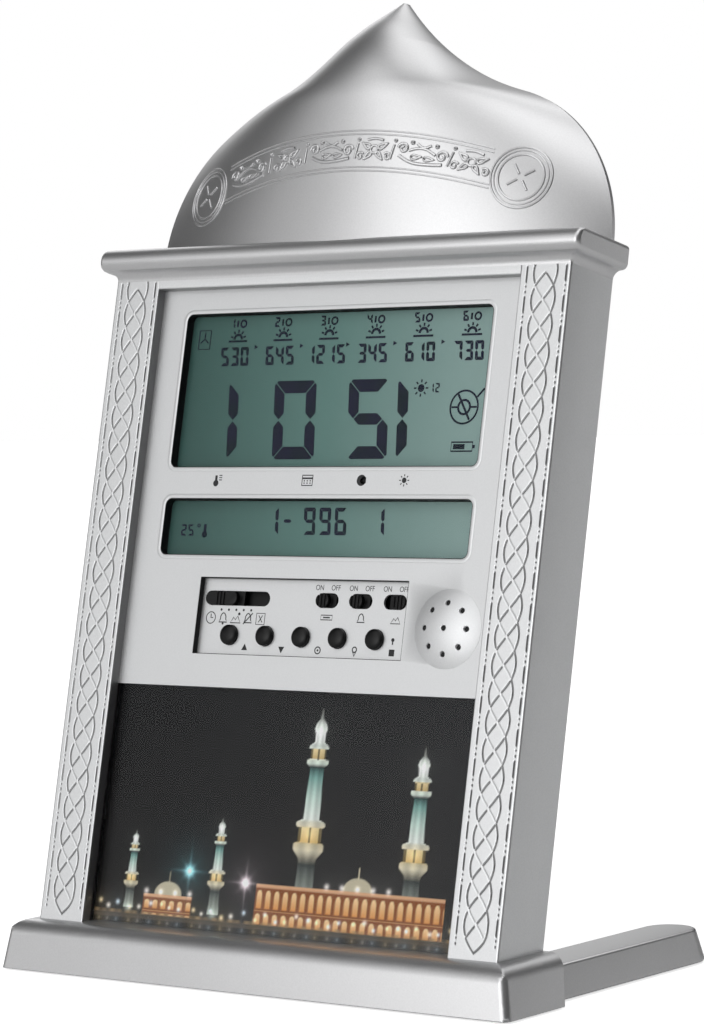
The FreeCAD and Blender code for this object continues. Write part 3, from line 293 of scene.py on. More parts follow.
def calculate(tree, operation, first, second):
    """The result of an operation on two numbers, each a value or an output."""
    return add(tree, "Math", {0: first, 1: second}, operation=operation).outputs[0]


def noise(tree, size, detail=2.0):
    """Noise whose features have a size in millimetres, on Object coordinates."""
    place = add(tree, "TexCoord").outputs["Object"]
    inputs = {"Vector": place, "Scale": 1 / (size * MM), "Detail": detail}
    return add(tree, "TexNoise", inputs).outputs["Fac"]


def spread(tree, source, low, high, start=0.3, end=0.7):
    """An output carried from the range start to end, where noise mostly lies, to low to high."""
    return add(tree, "MapRange", {"Value": source, "From Min": start, "From Max": end,
                                  "To Min": low, "To Max": high}).outputs[0]


def vary(tree, source, middle, share):
    """An output of noise carried to the values round a middle."""
    return spread(tree, source, middle - share, middle + share)


def shaded(tree, colour, share):
    """A colour, a value or an output, times an output."""
    return add(tree, "VectorMath", {0: colour, "Scale": share}, operation="SCALE").outputs[0]


def empty_material(name):
    """A material without nodes, and its tree."""
    made = bpy.data.materials.new(name)
    made.use_nodes = True
    made.node_tree.nodes.clear()
    return made, made.node_tree


def surfaced(made, inputs):
    """Gives a material its shader, with the shader's inputs, and its output."""
    shader = add(made.node_tree, "BsdfPrincipled", inputs)
    add(made.node_tree, "OutputMaterial", {"Surface": shader.outputs[0]})
    return made


def coat(name, colour, flakes, patches, metallic, roughness, peel, specular=0.5, varnish=0.0, thin=0.0):
    """A sprayed or moulded finish: fine flakes and broad soft patches in its colour, roughness that
    wanders with the patches, and a low relief of the size of orange peel or of the mould's texture.

    flakes is (size, share of the colour), patches a share of the colour, roughness (middle, share)
    and peel (size, depth), with sizes in millimetres. Where the piece's groove attribute is 1, its
    colour is darker by the share thin: painted shade in the engraved grooves and on the recess walls.
    """
    made, tree = empty_material(name)
    broad = noise(tree, PATCH_SIZE, 3.0)
    fine = noise(tree, flakes[0])
    tint = calculate(tree, "MULTIPLY", vary(tree, fine, 1.0, flakes[1]), vary(tree, broad, 1.0, patches))
    if thin:
        # painted shade: darker where the groove attribute marks grooves and recess walls
        groove = add(tree, "Attribute", attribute_name="groove").outputs["Fac"]
        tint = calculate(tree, "MULTIPLY", tint, spread(tree, groove, 1.0, 1.0 - thin, 0.0, 1.0))
    relief = add(tree, "Bump", {"Height": noise(tree, peel[0]), "Distance": peel[1] * MM, "Strength": 1.0})
    return surfaced(made, {
        "Base Color": shaded(tree, srgb(colour)[:3], tint), "Metallic": metallic,
        "Roughness": vary(tree, broad, *roughness), "Normal": relief.outputs["Normal"],
        "Specular IOR Level": specular, "Coat Weight": varnish, "Coat Roughness": 0.1})


PATCH_SIZE = 26.0           # mm, broad soft patches in every sprayed or moulded finish
PAINTED_GROOVE_SHADE = 0.72           # how much darker the lacquer is painted on a groove's floor: painted shade

# Silver lacquer with fine aluminium flakes, sprayed on moulded ABS: a satin metal sheen that goes
# from white to grey as the surface turns, with a faint grain. The flakes are drawn at 0.35 mm, far
# coarser than real ones, so that the grain shows.
silver_lacquer = coat("silver_lacquer_on_abs", "CFCFD0", (0.35, 0.03), 0.012, 0.85, (0.33, 0.02),
                      (1.1, 0.0035), thin=PAINTED_GROOVE_SHADE)
# The same lacquer on the flat, polished pilasters, painted a shade paler as painted light on their fronts;
# where the groove attribute is set, painted shade darkens the grooves and the recess walls.
pilaster_lacquer = coat("silver_lacquer_on_pilasters", "DCDDDE", (0.35, 0.03), 0.012, 0.85,
                        (0.36, 0.02), (1.1, 0.003), thin=PAINTED_GROOVE_SHADE)
# The same lacquer on the flat panel, a shade lighter and less shiny, as on a smooth sprayed plate.
panel_lacquer = coat("silver_lacquer_on_flat_panel", "D6D7D8", (0.3, 0.02), 0.01, 0.8, (0.42, 0.02),
                     (1.0, 0.002))
# The grille's dome, rubbed down before it was sprayed, so that its shading is softer; its colour is painted
# a shade lighter than the panel's, as painted light.
grille_lacquer = coat("silver_lacquer_on_grille", "E2E3E4", (0.3, 0.02), 0.01, 0.8, (0.5, 0.02),
                      (1.0, 0.002))
# Black ABS from a polished mould: deep black with a soft window of light on each round edge.
black_abs = coat("polished_black_abs", "0B0B0C", (0.6, 0.05), 0.03, 0.0, (0.32, 0.03), (1.4, 0.004), 0.25)
# Black moulded nylon of the switch bodies and sockets: dull black, a little chalky.
black_nylon = coat("black_nylon", "101011", (0.5, 0.08), 0.05, 0.0, (0.55, 0.04), (0.6, 0.01), 0.3)
# Matt rubber of the feet, with the fine grain of its mould.
foot_rubber = coat("moulded_rubber", "232325", (0.4, 0.12), 0.06, 0.0, (0.78, 0.04), (0.5, 0.02))
# Layered carbon rubber and foam behind the panel: soft grey-black.
strip_rubber = coat("layered_contact_rubber", "2A2A2D", (0.3, 0.15), 0.05, 0.0, (0.7, 0.04), (0.4, 0.01))
# White polystyrene frame and ribbon: plain, slightly warm moulding.
white_styrene = coat("white_polystyrene", "DDDCD6", (0.5, 0.02), 0.02, 0.0, (0.45, 0.03), (1.2, 0.004))
# Solder mask on glass-fibre board: gloss green over the weave.
solder_mask = coat("green_solder_mask", "1F5A36", (0.5, 0.10), 0.05, 0.0, (0.3, 0.04), (0.8, 0.006),
                   varnish=0.3)
# Zinc-plated steel of screws, plates and springs: bright, slightly hazed metal.
plated_steel = coat("zinc_plated_steel", "A9ABAE", (0.3, 0.06), 0.04, 1.0, (0.3, 0.05), (0.7, 0.004))
# Pressed black paper of the speaker cone: fibrous and dull.
cone_paper = coat("pressed_paper", "26262A", (0.25, 0.2), 0.08, 0.0, (0.85, 0.03), (0.35, 0.02))
# Shrink jacket of the cells: thin glossy film.
shrink_film = coat("shrink_film", "3A4048", (0.8, 0.04), 0.05, 0.0, (0.2, 0.04), (2.0, 0.006),
                   varnish=0.4)
# Screen ink on the panel: flat dark grey.
screen_ink = coat("screen_ink", "222224", (0.2, 0.12), 0.05, 0.0, (0.6, 0.04), (0.4, 0.002))


def clear_sheet(name, tint, share):
    """Thin clear sheet: what lies behind shows through, under a mirror sheen of a small share that
    is a little hazed in broad patches."""
    made, tree = empty_material(name)
    return surfaced(made, {"Base Color": srgb(tint), "Metallic": 1.0, "Alpha": share,
                           "Roughness": spread(tree, noise(tree, 9.0), 0.04, 0.14, 0.0, 1.0)})


def reflector_glass():
    """Twisted-nematic glass over a grey-green reflector, with a fine pearly grain of 0.3 mm from the
    reflector foil; its colour runs from a deep grey-green at the left to a pale one at the right, which
    is painted light and shade."""
    made, tree = empty_material("display_glass_over_reflector")
    axes = add(tree, "SeparateXYZ", {0: add(tree, "TexCoord").outputs["Object"]})
    ramp = add(tree, "ValToRGB", {"Fac": spread(tree, axes.outputs["X"], 0.0, 1.0,
                                                -REFLECTOR_HALF * MM, REFLECTOR_HALF * MM)})
    stops = ramp.color_ramp.elements
    # painted shade at the left, painted light at the right
    stops[0].color, stops[1].color = srgb("365651"), srgb("8FA9A5")
    stops.new(0.5).color = srgb("61847E")
    grain = vary(tree, noise(tree, 0.3), 1.0, 0.04)
    return surfaced(made, {"Base Color": shaded(tree, ramp.outputs[0], grain), "Roughness": 0.35,
                           "Specular IOR Level": 0.12})


def segment_ink():
    """Switched-on liquid crystal: near-black navy that turns a little purple in broad patches."""
    made, tree = empty_material("darkened_liquid_crystal")
    share = spread(tree, noise(tree, 7.0, 1.0), 0.0, 1.0, 0.35, 0.65)
    colour = add(tree, "Mix", {0: share, 6: srgb("0E1C26"), 7: srgb("181A32")}, data_type="RGBA")
    return surfaced(made, {"Base Color": colour.outputs[2], "Roughness": 0.4, "Specular IOR Level": 0.1})


def printed_card():
    """Offset print on gloss card: the colour comes from the card's own attribute, under a varnish,
    broken up by a paper grain of 0.2 mm."""
    made, tree = empty_material("offset_print_on_gloss_card")
    picture = add(tree, "Attribute", attribute_name="print").outputs["Color"]
    grain = vary(tree, noise(tree, 0.2), 1.0, 0.06)
    return surfaced(made, {"Base Color": shaded(tree, picture, grain), "Roughness": 0.35,
                           "Specular IOR Level": 0.1})


REFLECTOR_HALF = 42.0       # mm, half width of the display's reflector, across which its painted light and shade run
# Cast acrylic of the windows: the print and the displays show clear and dark, with a thin sheen.
clear_acrylic = clear_sheet("clear_acrylic", "F4F8F8", 0.008)
display_glass = reflector_glass()
crystal_ink = segment_ink()
card_print = printed_card()


# ---- pilasters with their engraved braid -----------------------------------------------------------
BRAID_PERIOD = 5.785
BRAID_FIRST = 137.3         # level of the first pair of nodes
BRAID_COUNT = 23            # periods from the first pair of nodes to the last
NODE_HALF = 2.2             # nodes to the braid's middle
ARC_HALF = 2.92             # widest point of the outer strands
DASH_PERIOD = 6.335
DASH_COUNT = 21
DASH_OUTER, DASH_INNER = 5.12, 4.6      # dashed lines to the braid's middle
GROOVE_HALF = 0.22          # half width of a groove
GROOVE_DEPTH = 0.2
SHALLOW = 0.3               # depth of the strands that fall to the outside, as a share
TOP_RISE = 0.45             # periods from the first nodes up to the braid's closing arch
TAIL = 1.5                  # periods over which the outer strand closes at the foot
# What each strand shows of itself, in shares of a period: it is cut off where it passes under another.
STEEP_RUNS = ((0.08, 0.47), (0.59, 0.97))
SHALLOW_RUNS = ((0.06, 0.42), (0.54, 0.93))
LEFT_RUN, RIGHT_RUN = (0.13, 0.90), (0.0, 0.96)
DOT_RUNS, DASH_RUN = ((0.0, 0.03), (0.19, 0.22)), (0.37, 0.88)
SLOPE_STEP = 0.01
PILASTER_COLUMNS, PILASTER_ROWS = 96, 900
PLAIN_EDGE = 0.3            # over which the engraving fades out at the pilaster's edges
FRIEZE_EDGE = 0.3           # radius of the frieze's lower edge
WALL_SHADE = 0.8            # how much painted shade darkens the recess walls, 1 being a groove's floor


def braid_cut(x, v):
    """How deep the engraving is at (x, v), as a share of the groove's depth; x is from the pilaster's
    middle, to the outside.

    T counts periods down from the first nodes, and t is its fraction. Two sets of strands run from
    node to node, x = +-a((1 - s)(1 - 2t) + s cos(pi t)), and two outer ones x = +-(a + (b - a)
    sin(pi t)). Dashes and dots run beside them, with a longer period. A groove is 1 - (distance /
    half width)^2, and one set of strands is shallow.
    """
    cut = np.zeros(np.broadcast(x, v).shape)

    def along(curve, t, run, wanted, share=1.0, centre=0.0, period=BRAID_PERIOD):
        """Cuts x = centre + curve(t), over a run of t, to a share of the depth, where wanted."""
        held = np.clip(t, *run)
        past = (t - held) * period
        slope = (curve(held + SLOPE_STEP) - curve(held - SLOPE_STEP)) / (2 * SLOPE_STEP * period)
        off = x - centre - curve(held)
        near = np.where(past == 0, np.abs(off) / np.sqrt(1 + slope ** 2), np.hypot(off, past))
        np.copyto(cut, np.maximum(cut, share * np.clip(1 - (near / GROOVE_HALF) ** 2, 0, 1)), where=wanted)

    def cross(t):
        """A strand on its way through the braid, from one side's node to the other's."""
        return NODE_HALF * (0.75 * (1 - 2 * t) + 0.25 * np.cos(np.pi * t))

    def outer(t):
        """A strand on its way along the side, from node to node."""
        return NODE_HALF + (ARC_HALF - NODE_HALF) * np.sin(np.pi * t)

    def arch(t):
        """The braid's top: from its tip out to the first node."""
        return NODE_HALF * np.clip((t + TOP_RISE) / TOP_RISE, 0, 2) ** 0.85

    def closing(t):
        """The outer strand's end: out to its widest point, then in to the braid's foot."""
        share = (t - last) / TAIL
        rising = NODE_HALF + (ARC_HALF - NODE_HALF) * np.sin(np.pi / 2 * np.clip(share / 0.33, 0, 1))
        falling = ARC_HALF * np.cos(np.pi / 2 * np.clip((share - 0.33) / 0.67, 0, 1) ** 1.6)
        return np.where(share < 0.33, rising, falling)

    def foot(t):
        """The other strand's end: from the last node in to the braid's foot."""
        return -NODE_HALF * (1 - np.clip((t - last - 1) / (TAIL - 1), 0, 1) ** 1.3)

    turn = (BRAID_FIRST - v) / BRAID_PERIOD
    cell = np.floor(turn)
    part = turn - cell
    last = BRAID_COUNT - 1
    woven = (cell >= 0) & (cell < BRAID_COUNT)
    for run in STEEP_RUNS:
        along(cross, part, run, woven)
    for run in SHALLOW_RUNS:
        along(lambda t: -cross(t), part, run, woven, SHALLOW)
    along(lambda t: -outer(t), part, LEFT_RUN, (cell >= -1) & (cell < BRAID_COUNT))
    along(outer, part, RIGHT_RUN, (cell >= -1) & (cell < last))
    above, below = turn < 0.1, turn > last - 0.1
    along(arch, turn, (-TOP_RISE, -0.04), above)
    along(lambda t: -arch(t), turn, (-TOP_RISE, 0.0), above)
    along(closing, turn, (last, last + TAIL), below)
    along(foot, turn, (last + 1, last + TAIL), below)

    turn = (BRAID_FIRST - v) / DASH_PERIOD
    cell = np.floor(turn)
    dashed = (cell >= -1) & (cell < DASH_COUNT)
    dotted = dashed | (cell == DASH_COUNT)
    for centre in (DASH_OUTER, -DASH_INNER):
        for run, wanted in ((DOT_RUNS[0], dotted), (DOT_RUNS[1], dotted), (DASH_RUN, dashed)):
            along(lambda t: 0 * t, turn - cell, run, wanted, 1.0, centre, DASH_PERIOD)
    return cut


def paint_groove_shade(made, shares):
    """Keeps in the groove attribute where painted shade darkens the lacquer: 1 in a groove's floor."""
    groove = made.data.attributes.new("groove", "FLOAT", "POINT")
    groove.data.foreach_set("value", shares.astype(np.float32).ravel())


def pilaster(name, side):
    """One pilaster with its side wall: an L-shaped section carried up from the plinth to the cove.

    Round the section go the recess wall, the front with its engraving, the outer wall and the inner
    faces; a row's level is v = w tan(lean) + share of what is left up to the cove, so that the foot
    stands level on the plinth. The groove attribute keeps where the engraving is cut and where the
    recess wall is, for the painted shade on both.
    """
    quarter = np.linspace(0, math.pi / 2, 5)
    inner, outer = RECESS_HALF + INNER_EDGE, HALF_WIDTH - FRONT_EDGE
    front = np.linspace(inner, outer, PILASTER_COLUMNS)[1:-1]
    u = np.concatenate([[RECESS_HALF], inner - INNER_EDGE * np.cos(quarter), front,
                        outer + FRONT_EDGE * np.sin(quarter),
                        [HALF_WIDTH, HALF_WIDTH - SIDE_WALL, HALF_WIDTH - SIDE_WALL]])
    w = np.concatenate([[RECESS_DEPTH], INNER_EDGE * (1 - np.sin(quarter)), 0 * front,
                        FRONT_EDGE * (1 - np.cos(quarter)), [BODY_DEPTH, BODY_DEPTH, RECESS_DEPTH]])
    flat = np.concatenate([[0], 0 * quarter, 1 + 0 * front, 0 * quarter, [0, 0, 0]])
    share = np.linspace(0, 1, PILASTER_ROWS)[:, None]
    v = w * math.tan(LEAN) + (COVE_LOW - w * math.tan(LEAN)) * share
    fade = np.clip((outer - u) / PLAIN_EDGE, 0, 1) * np.clip((u - inner) / PLAIN_EDGE, 0, 1)
    cut = flat * fade * braid_cut(side * (u - PILASTER_MID), v)
    made = piece(name, "case", pilaster_lacquer,
                 [skin(stand(side * u, w + GROOVE_DEPTH * cut, v), True, True)], ("front_housing",),
                 crease=50.0)
    # painted shade on the recess wall, where shade falls
    recess_wall_shade = np.concatenate([[WALL_SHADE, WALL_SHADE, 0.3], 0 * u[3:]])
    paint_groove_shade(made, np.maximum(np.clip(1.6 * cut, 0, 1), recess_wall_shade))


pilaster("pilaster_left", -1)
pilaster("pilaster_right", 1)


# ---- frieze and cornice ----------------------------------------------------------------------------
def frieze():
    """The bar over the recess: its section, with a rounded lower edge, carried across the face."""
    quarter = np.linspace(0, math.pi / 2, 6)
    w = np.concatenate([[RECESS_DEPTH], FRIEZE_EDGE * (1 - np.sin(quarter)), [0, RECESS_DEPTH]])
    v = np.concatenate([[RECESS_TOP], RECESS_TOP + FRIEZE_EDGE * (1 - np.cos(quarter)),
                        [COVE_LOW, COVE_LOW]])
    across = np.array([-RECESS_HALF, RECESS_HALF])[:, None]
    bar = piece("frieze", "case", pilaster_lacquer,
                [skin(stand(across, w, v), True, True)])
    # painted shade on the frieze's face inside the recess
    paint_groove_shade(bar, np.concatenate([[WALL_SHADE, WALL_SHADE], 0 * w[2:]]) + 0 * across)


def cornice():
    """The moulding: a U-shaped plan at each level, its front and sides moved out by the profiles.

    The front's profile is the cove, F = c - sqrt(c^2 - (v - low)^2), then the bead, F = e +
    sqrt(r^2 - (v - mid)^2); the sides' is a cove, a convex quarter round and a flat band, with its
    upper edge rounded. The plan's front corners are arcs whose radius grows up the cove.
    """
    quarter = np.linspace(0, math.pi / 2, 9)
    bead = np.linspace(math.asin((COVE_TOP - BEAD_MID) / BEAD_RADIUS), math.pi / 2, 34)
    band_low = COVE_LOW + SIDE_COVE
    v = np.unique(np.concatenate([
        COVE_LOW + COVE_RADIUS * np.sin(quarter), COVE_LOW + SIDE_COVE * np.sin(quarter),
        band_low + SIDE_ROUND * (1 - np.cos(quarter)), BEAD_MID + BEAD_RADIUS * np.sin(bead),
        CORNICE_TOP - CORNER_ROUND * (1 - np.sin(quarter))]).round(5))
    v = v[np.concatenate([[True], np.diff(v) > 0.004])]
    nose = np.where(v <= COVE_TOP + 1e-6, COVE_RADIUS - root(COVE_RADIUS ** 2 - (v - COVE_LOW) ** 2),
                    BEAD_CENTRE + root(BEAD_RADIUS ** 2 - (v - BEAD_MID) ** 2))
    side = np.select(
        [v <= band_low, v <= band_low + SIDE_ROUND, v <= CORNICE_TOP - CORNER_ROUND],
        [SIDE_COVE - root(SIDE_COVE ** 2 - (v - COVE_LOW) ** 2),
         SIDE_COVE + root(SIDE_ROUND ** 2 - (band_low + SIDE_ROUND - v) ** 2), CORNICE_REACH],
        CORNICE_REACH - CORNER_ROUND + root(CORNER_ROUND ** 2 - (v - CORNICE_TOP + CORNER_ROUND) ** 2))
    corner = FRONT_EDGE + (CORNER_ROUND - FRONT_EDGE) * np.clip((v - COVE_LOW) / COVE_RADIUS, 0, 1)
    nose, side, corner, v = (a[:, None] for a in (nose, side, corner, v))
    reach = HALF_WIDTH + side
    rising, falling = corner * (1 - np.cos(quarter)), corner * (1 - np.sin(quarter))
    cut = (HALF_WIDTH - SIDE_WALL) * np.ones_like(v)
    back, recess = BODY_DEPTH * np.ones_like(v), RECESS_DEPTH * np.ones_like(v)
    u = np.concatenate([-reach, rising - reach, reach - falling, reach, cut, cut, -cut, -cut], 1)
    w = np.concatenate([back, falling - nose, rising - nose, back, back, recess, recess, back], 1)
    return skin(stand(u, w, v), True, True)


top_wall = box_skin(-HALF_WIDTH + SIDE_WALL, HALF_WIDTH - SIDE_WALL, RECESS_DEPTH, BODY_DEPTH,
                    CORNICE_TOP - TOP_WALL, CORNICE_TOP)
frieze()
piece("cornice", "case", silver_lacquer, [cornice(), top_wall])


# ---- dome ------------------------------------------------------------------------------------------
def dome_half(h):
    """Half width at a height: a convex shoulder arc, then a concave sweep tangent to it and to the
    tip; the sweep's radius is half the squared chord over its part along the shoulder's radius."""
    h = np.asarray(h, float)
    centre = DOME_HALF - SHOULDER_RADIUS
    turn_height = SHOULDER_RADIUS * math.sin(SHOULDER_TURN)
    turn_half = centre + SHOULDER_RADIUS * math.cos(SHOULDER_TURN)
    across, rise = TIP_HALF - turn_half, DOME_HEIGHT - turn_height
    sweep = (across ** 2 + rise ** 2) / (2 * (across * math.cos(SHOULDER_TURN)
                                              + rise * math.sin(SHOULDER_TURN)))
    low = centre + root(SHOULDER_RADIUS ** 2 - h ** 2)
    level = turn_height + sweep * math.sin(SHOULDER_TURN)
    high = turn_half + sweep * math.cos(SHOULDER_TURN) - root(sweep ** 2 - (h - level) ** 2)
    return np.where(h <= turn_height, low, high)


def dome_crest(h):
    """Depth at the middle: level, then an arc that falls back, then a straight run to the tip."""
    h = np.asarray(h, float)
    rise = h - (DOME_HEIGHT - CREST_FALL)
    fall = DOME_BULGE - TIP_DEPTH
    radius = (CREST_FALL * math.tan(CREST_TURN) - fall) / (1 / math.cos(CREST_TURN) - 1)
    arc_rise = radius * math.sin(CREST_TURN)
    bent = DOME_BULGE - radius + root(radius ** 2 - np.maximum(rise, 0) ** 2)
    straight = DOME_BULGE - radius * (1 - math.cos(CREST_TURN)) - (rise - arc_rise) * math.tan(CREST_TURN)
    return np.where(rise <= 0, DOME_BULGE, np.where(rise <= arc_rise, bent, straight))


def dome_front(u, h, inset=0.0):
    """w of the dome's front at (u, h): part of a circle through the rims and the crest, which
    becomes a half ellipse where the dome is deeper than it is wide."""
    half = dome_half(h) - inset
    depth = dome_crest(h) - DOME_RIM - inset
    spread = np.minimum(2 * np.arctan2(depth, half), math.pi / 2)
    turn = np.arcsin(np.clip(u / half, -1, 1) * np.sin(spread))
    bulge = depth * (np.cos(turn) - np.cos(spread)) / (1 - np.cos(spread))
    return BODY_DEPTH - DOME_RIM - bulge


def dome_shell():
    """The crown: round each level go the front arc, the rims and the hollow inside, which ends in a
    ceiling below the tip; above it the back is flat."""
    low = np.linspace(-DOME_FOOT, DOME_NECK, 62)
    high = DOME_HEIGHT - (DOME_HEIGHT - DOME_NECK) * np.linspace(1, 0, 60) ** 1.25
    h = np.unique(np.concatenate([low, high, [DOME_CAVITY_TOP, DOME_CAVITY_TOP + 0.01]]))[:, None]
    front = np.sin(np.linspace(-math.pi / 2, math.pi / 2, 161))[None]
    back = np.sin(np.linspace(math.pi / 2, -math.pi / 2, 41))[None]
    half = dome_half(h)
    hollow = h <= DOME_CAVITY_TOP
    inner = np.where(hollow, half - DOME_WALL, half * 0.999)
    ceiling = np.minimum(h, DOME_CAVITY_TOP)
    inner_front = np.where(hollow, dome_front(back * (half - DOME_WALL), ceiling, DOME_WALL), BODY_DEPTH)
    rim = BODY_DEPTH * np.ones_like(h)
    u = np.concatenate([half * front, half, inner * back, -half], 1)
    w = np.concatenate([dome_front(half * front, h), rim, rim, inner_front[:, 1:-1], rim, rim], 1)
    return skin(stand(u, w, CORNICE_TOP + h), True, True)


piece("dome", "case", silver_lacquer, [dome_shell()], ("dome_crown",))


# ---- dome ornament: raised lines on the dome -------------------------------------------------------
BAND_HALF = 35.5            # half length of the band between the medallions
BAND_MIDDLE = 18.95         # level of its middle line, at u = 0
BAND_FALL = 0.00325         # how fast that line falls, h = middle - fall u^2
MEDALLION_UP = 13.2
MOTIF_HEIGHT = 0.38         # how far the motifs' lines stand out
LINE_HEIGHT = 0.2           # and those of the band and the medallions
RIDGE_SIDES = 8


def dome_ridge(path, width, height, closed=False):
    """A raised line on the dome: an ellipse, width by twice the height, carried along (u, h) points
    on the front; its axes are the surface's normal, the cross product of the two slopes, and the
    normal crossed with the path's direction."""
    u, h = np.asarray(path, float).T
    step = 0.05

    def on_dome(a, b):
        return stand(a, dome_front(a, b), CORNICE_TOP + b)

    centre = on_dome(u, h)
    normal = np.cross(on_dome(u + step, h) - on_dome(u - step, h),
                      on_dome(u, h + step) - on_dome(u, h - step))
    normal /= np.linalg.norm(normal, axis=1, keepdims=True)
    side = np.cross(normal, directions(centre, closed))
    angle = np.linspace(0, 2 * math.pi, RIDGE_SIDES + 1)[:-1]
    ring = (centre[:, None] + side[:, None] * (MM * width / 2 * np.cos(angle))[None, :, None]
            + normal[:, None] * (MM * height * np.sin(angle))[None, :, None])
    return hoop(ring) if closed else skin(ring, True, True)


def band_line(height, fall):
    """A line of the band: h = height - fall u^2."""
    u = np.linspace(-BAND_HALF, BAND_HALF, 90)
    return np.stack([u, height - fall * u ** 2], -1)


def in_band(points, u_mid):
    """Points (a, b) of a motif laid in the band: u = u_mid + a, and b is above the band's middle
    line, leaning with it."""
    a, b = np.asarray(points, float).T
    u = u_mid + a
    return np.stack([u + 2 * BAND_FALL * u * b, BAND_MIDDLE - BAND_FALL * u ** 2 + b], -1)


def scroll(a, b, radius, turns, start, spin):
    """A curl: a spiral r = radius (1 - 0.78 s) about (a, b), s from 0 to 1 over the turns."""
    share = np.linspace(0, 1, 40)
    angle = start + spin * 2 * math.pi * turns * share
    reach = radius * (1 - 0.78 * share)
    return np.stack([a + reach * np.cos(angle), b + reach * np.sin(angle)], -1)


def leaf(a, b, length, width, angle):
    """A pointed leaf: x = L (1 - cos t) / 2 and y = W sin t (1 + cos t) / 2, turned by an angle."""
    t = np.linspace(0, 2 * math.pi, 33)[:-1]
    x, y = length * (1 - np.cos(t)) / 2, width * np.sin(t) * (1 + np.cos(t)) / 2
    return np.stack([a + x * math.cos(angle) - y * math.sin(angle),
                     b + x * math.sin(angle) + y * math.cos(angle)], -1)


def stem(a0, b0, a1, b1, sway):
    """A stem from (a0, b0) to (a1, b1) that sways to one side, b = line + sway sin(pi s)."""
    share = np.linspace(0, 1, 24)
    return np.stack([a0 + (a1 - a0) * share, b0 + (b1 - b0) * share + sway * np.sin(math.pi * share)], -1)


# Two motifs of stems, curls, leaves and buds fill the band in turn: (points, width, closed).
VINE = ((stem(-5.4, -0.7, 0.4, -2.1, -0.5), 0.75, False), (stem(0.4, -2.1, 4.9, -1.6, -0.1), 0.75, False),
        (scroll(-4.6, 0.9, 1.25, 1.3, math.pi, -1), 0.62, False),
        (scroll(4.5, 0.1, 1.3, 1.3, 0.2, 1), 0.62, False),
        (stem(-3.2, 0.5, 2.9, 0.2, 0.9), 0.62, False), (leaf(-2.4, -0.9, 2.4, 0.75, 0.15), 0.5, True),
        (leaf(0.6, -0.9, 2.3, 0.7, 0.05), 0.5, True), (stem(-1.6, 2.2, 1.6, 2.1, -0.7), 0.6, False),
        (circle(-2.7, 2.3, 0.28, 10), 0.5, True), (circle(2.9, 2.1, 0.28, 10), 0.5, True))
ROSETTE = ((circle(0.0, 0.3, 0.85, 24), 0.55, True), (leaf(1.1, 0.6, 2.3, 0.8, 0.5), 0.55, True),
           (leaf(-1.1, 0.6, 2.3, 0.8, math.pi - 0.5), 0.55, True),
           (leaf(0.7, -0.4, 2.2, 0.7, -0.75), 0.55, True),
           (leaf(-0.7, -0.4, 2.2, 0.7, math.pi + 0.75), 0.55, True),
           (stem(-1.9, 2.35, 1.9, 2.35, 0.3), 0.6, False),
           (scroll(-3.4, -1.2, 0.95, 1.1, 0.6, 1), 0.55, False),
           (scroll(3.4, -1.2, 0.95, 1.1, math.pi - 0.6, -1), 0.55, False))


def dome_ornament():
    """All raised lines: the band's edges, its motifs and the bars between them, and the medallions."""
    ridges = [dome_ridge(band_line(height, fall), 0.36, LINE_HEIGHT)
              for height, fall in ((23.35, 0.0033), (22.55, 0.0033), (14.55, 0.0032), (15.35, 0.0032))]
    for place, u_mid in enumerate((-28.0, -15.3, -2.6, 8.6, 20.2, 31.2)):
        ridges += [dome_ridge(in_band(points, u_mid), 1.1 * width, MOTIF_HEIGHT, closed)
                   for points, width, closed in (VINE, ROSETTE)[place % 2]]
    for u_mid in (-20.9, -9.9, 4.1, 13.1, 26.6):
        ridges.append(dome_ridge(in_band(stem(-0.25, -1.7, 0.25, 1.6, 0.0), u_mid), 0.6, 0.3))
        ridges.append(dome_ridge(in_band(circle(0.4, 2.4, 0.26, 10), u_mid), 0.45, 0.3, True))
    for mid, across, up in ((-43.0, 7.0, 6.6), (41.7, 6.05, 6.7)):
        middle = np.array([[mid, MEDALLION_UP]])
        for share, width in ((1.0, 0.5), (0.89, 0.34), (0.75, 0.5)):
            ring = middle + circle(0.0, 0.0, share, 64) * np.array([[across, up]])
            ridges.append(dome_ridge(ring, width, LINE_HEIGHT, True))
        reach = np.linspace(0.85, 3.3, 10)[:, None]
        for degrees in (32, 122, 212, 302):
            angle = math.radians(degrees)
            bar = middle + reach * np.array([[math.cos(angle) * across / up, math.sin(angle)]])
            ridges.append(dome_ridge(bar, 0.55, 0.3))
    return ridges


piece("dome_ornament", "case", silver_lacquer, dome_ornament(), crease=60.0)


# ---- plinth, legs, panel and back ------------------------------------------------------------------
dressed("base_plinth", silver_lacquer, bevel=0.25)
for name in ("leg_left", "leg_right"):
    dressed(name, silver_lacquer, bevel=0.7)
dressed("face_panel", panel_lacquer, crease=15.0)
dressed("dome_back_plate", silver_lacquer, bevel=0.15)
# merged or rounded, the cover's flat back shows dark streaks between its many holes
dressed("rear_cover", silver_lacquer, crease=4.0, merge_flat=False)
dressed("battery_door", silver_lacquer, bevel=0.2)
dressed("rubber_feet", foot_rubber, bevel=0.2)
for name in ("housing_screws", "base_screws"):
    dressed(name, plated_steel)
for name in ("button_up", "button_down", "button_set", "button_city", "button_stop", "mode_knob",
             "switch_knob_left", "switch_knob_middle", "switch_knob_right"):
    dressed(name, black_abs, bevel=0.1)

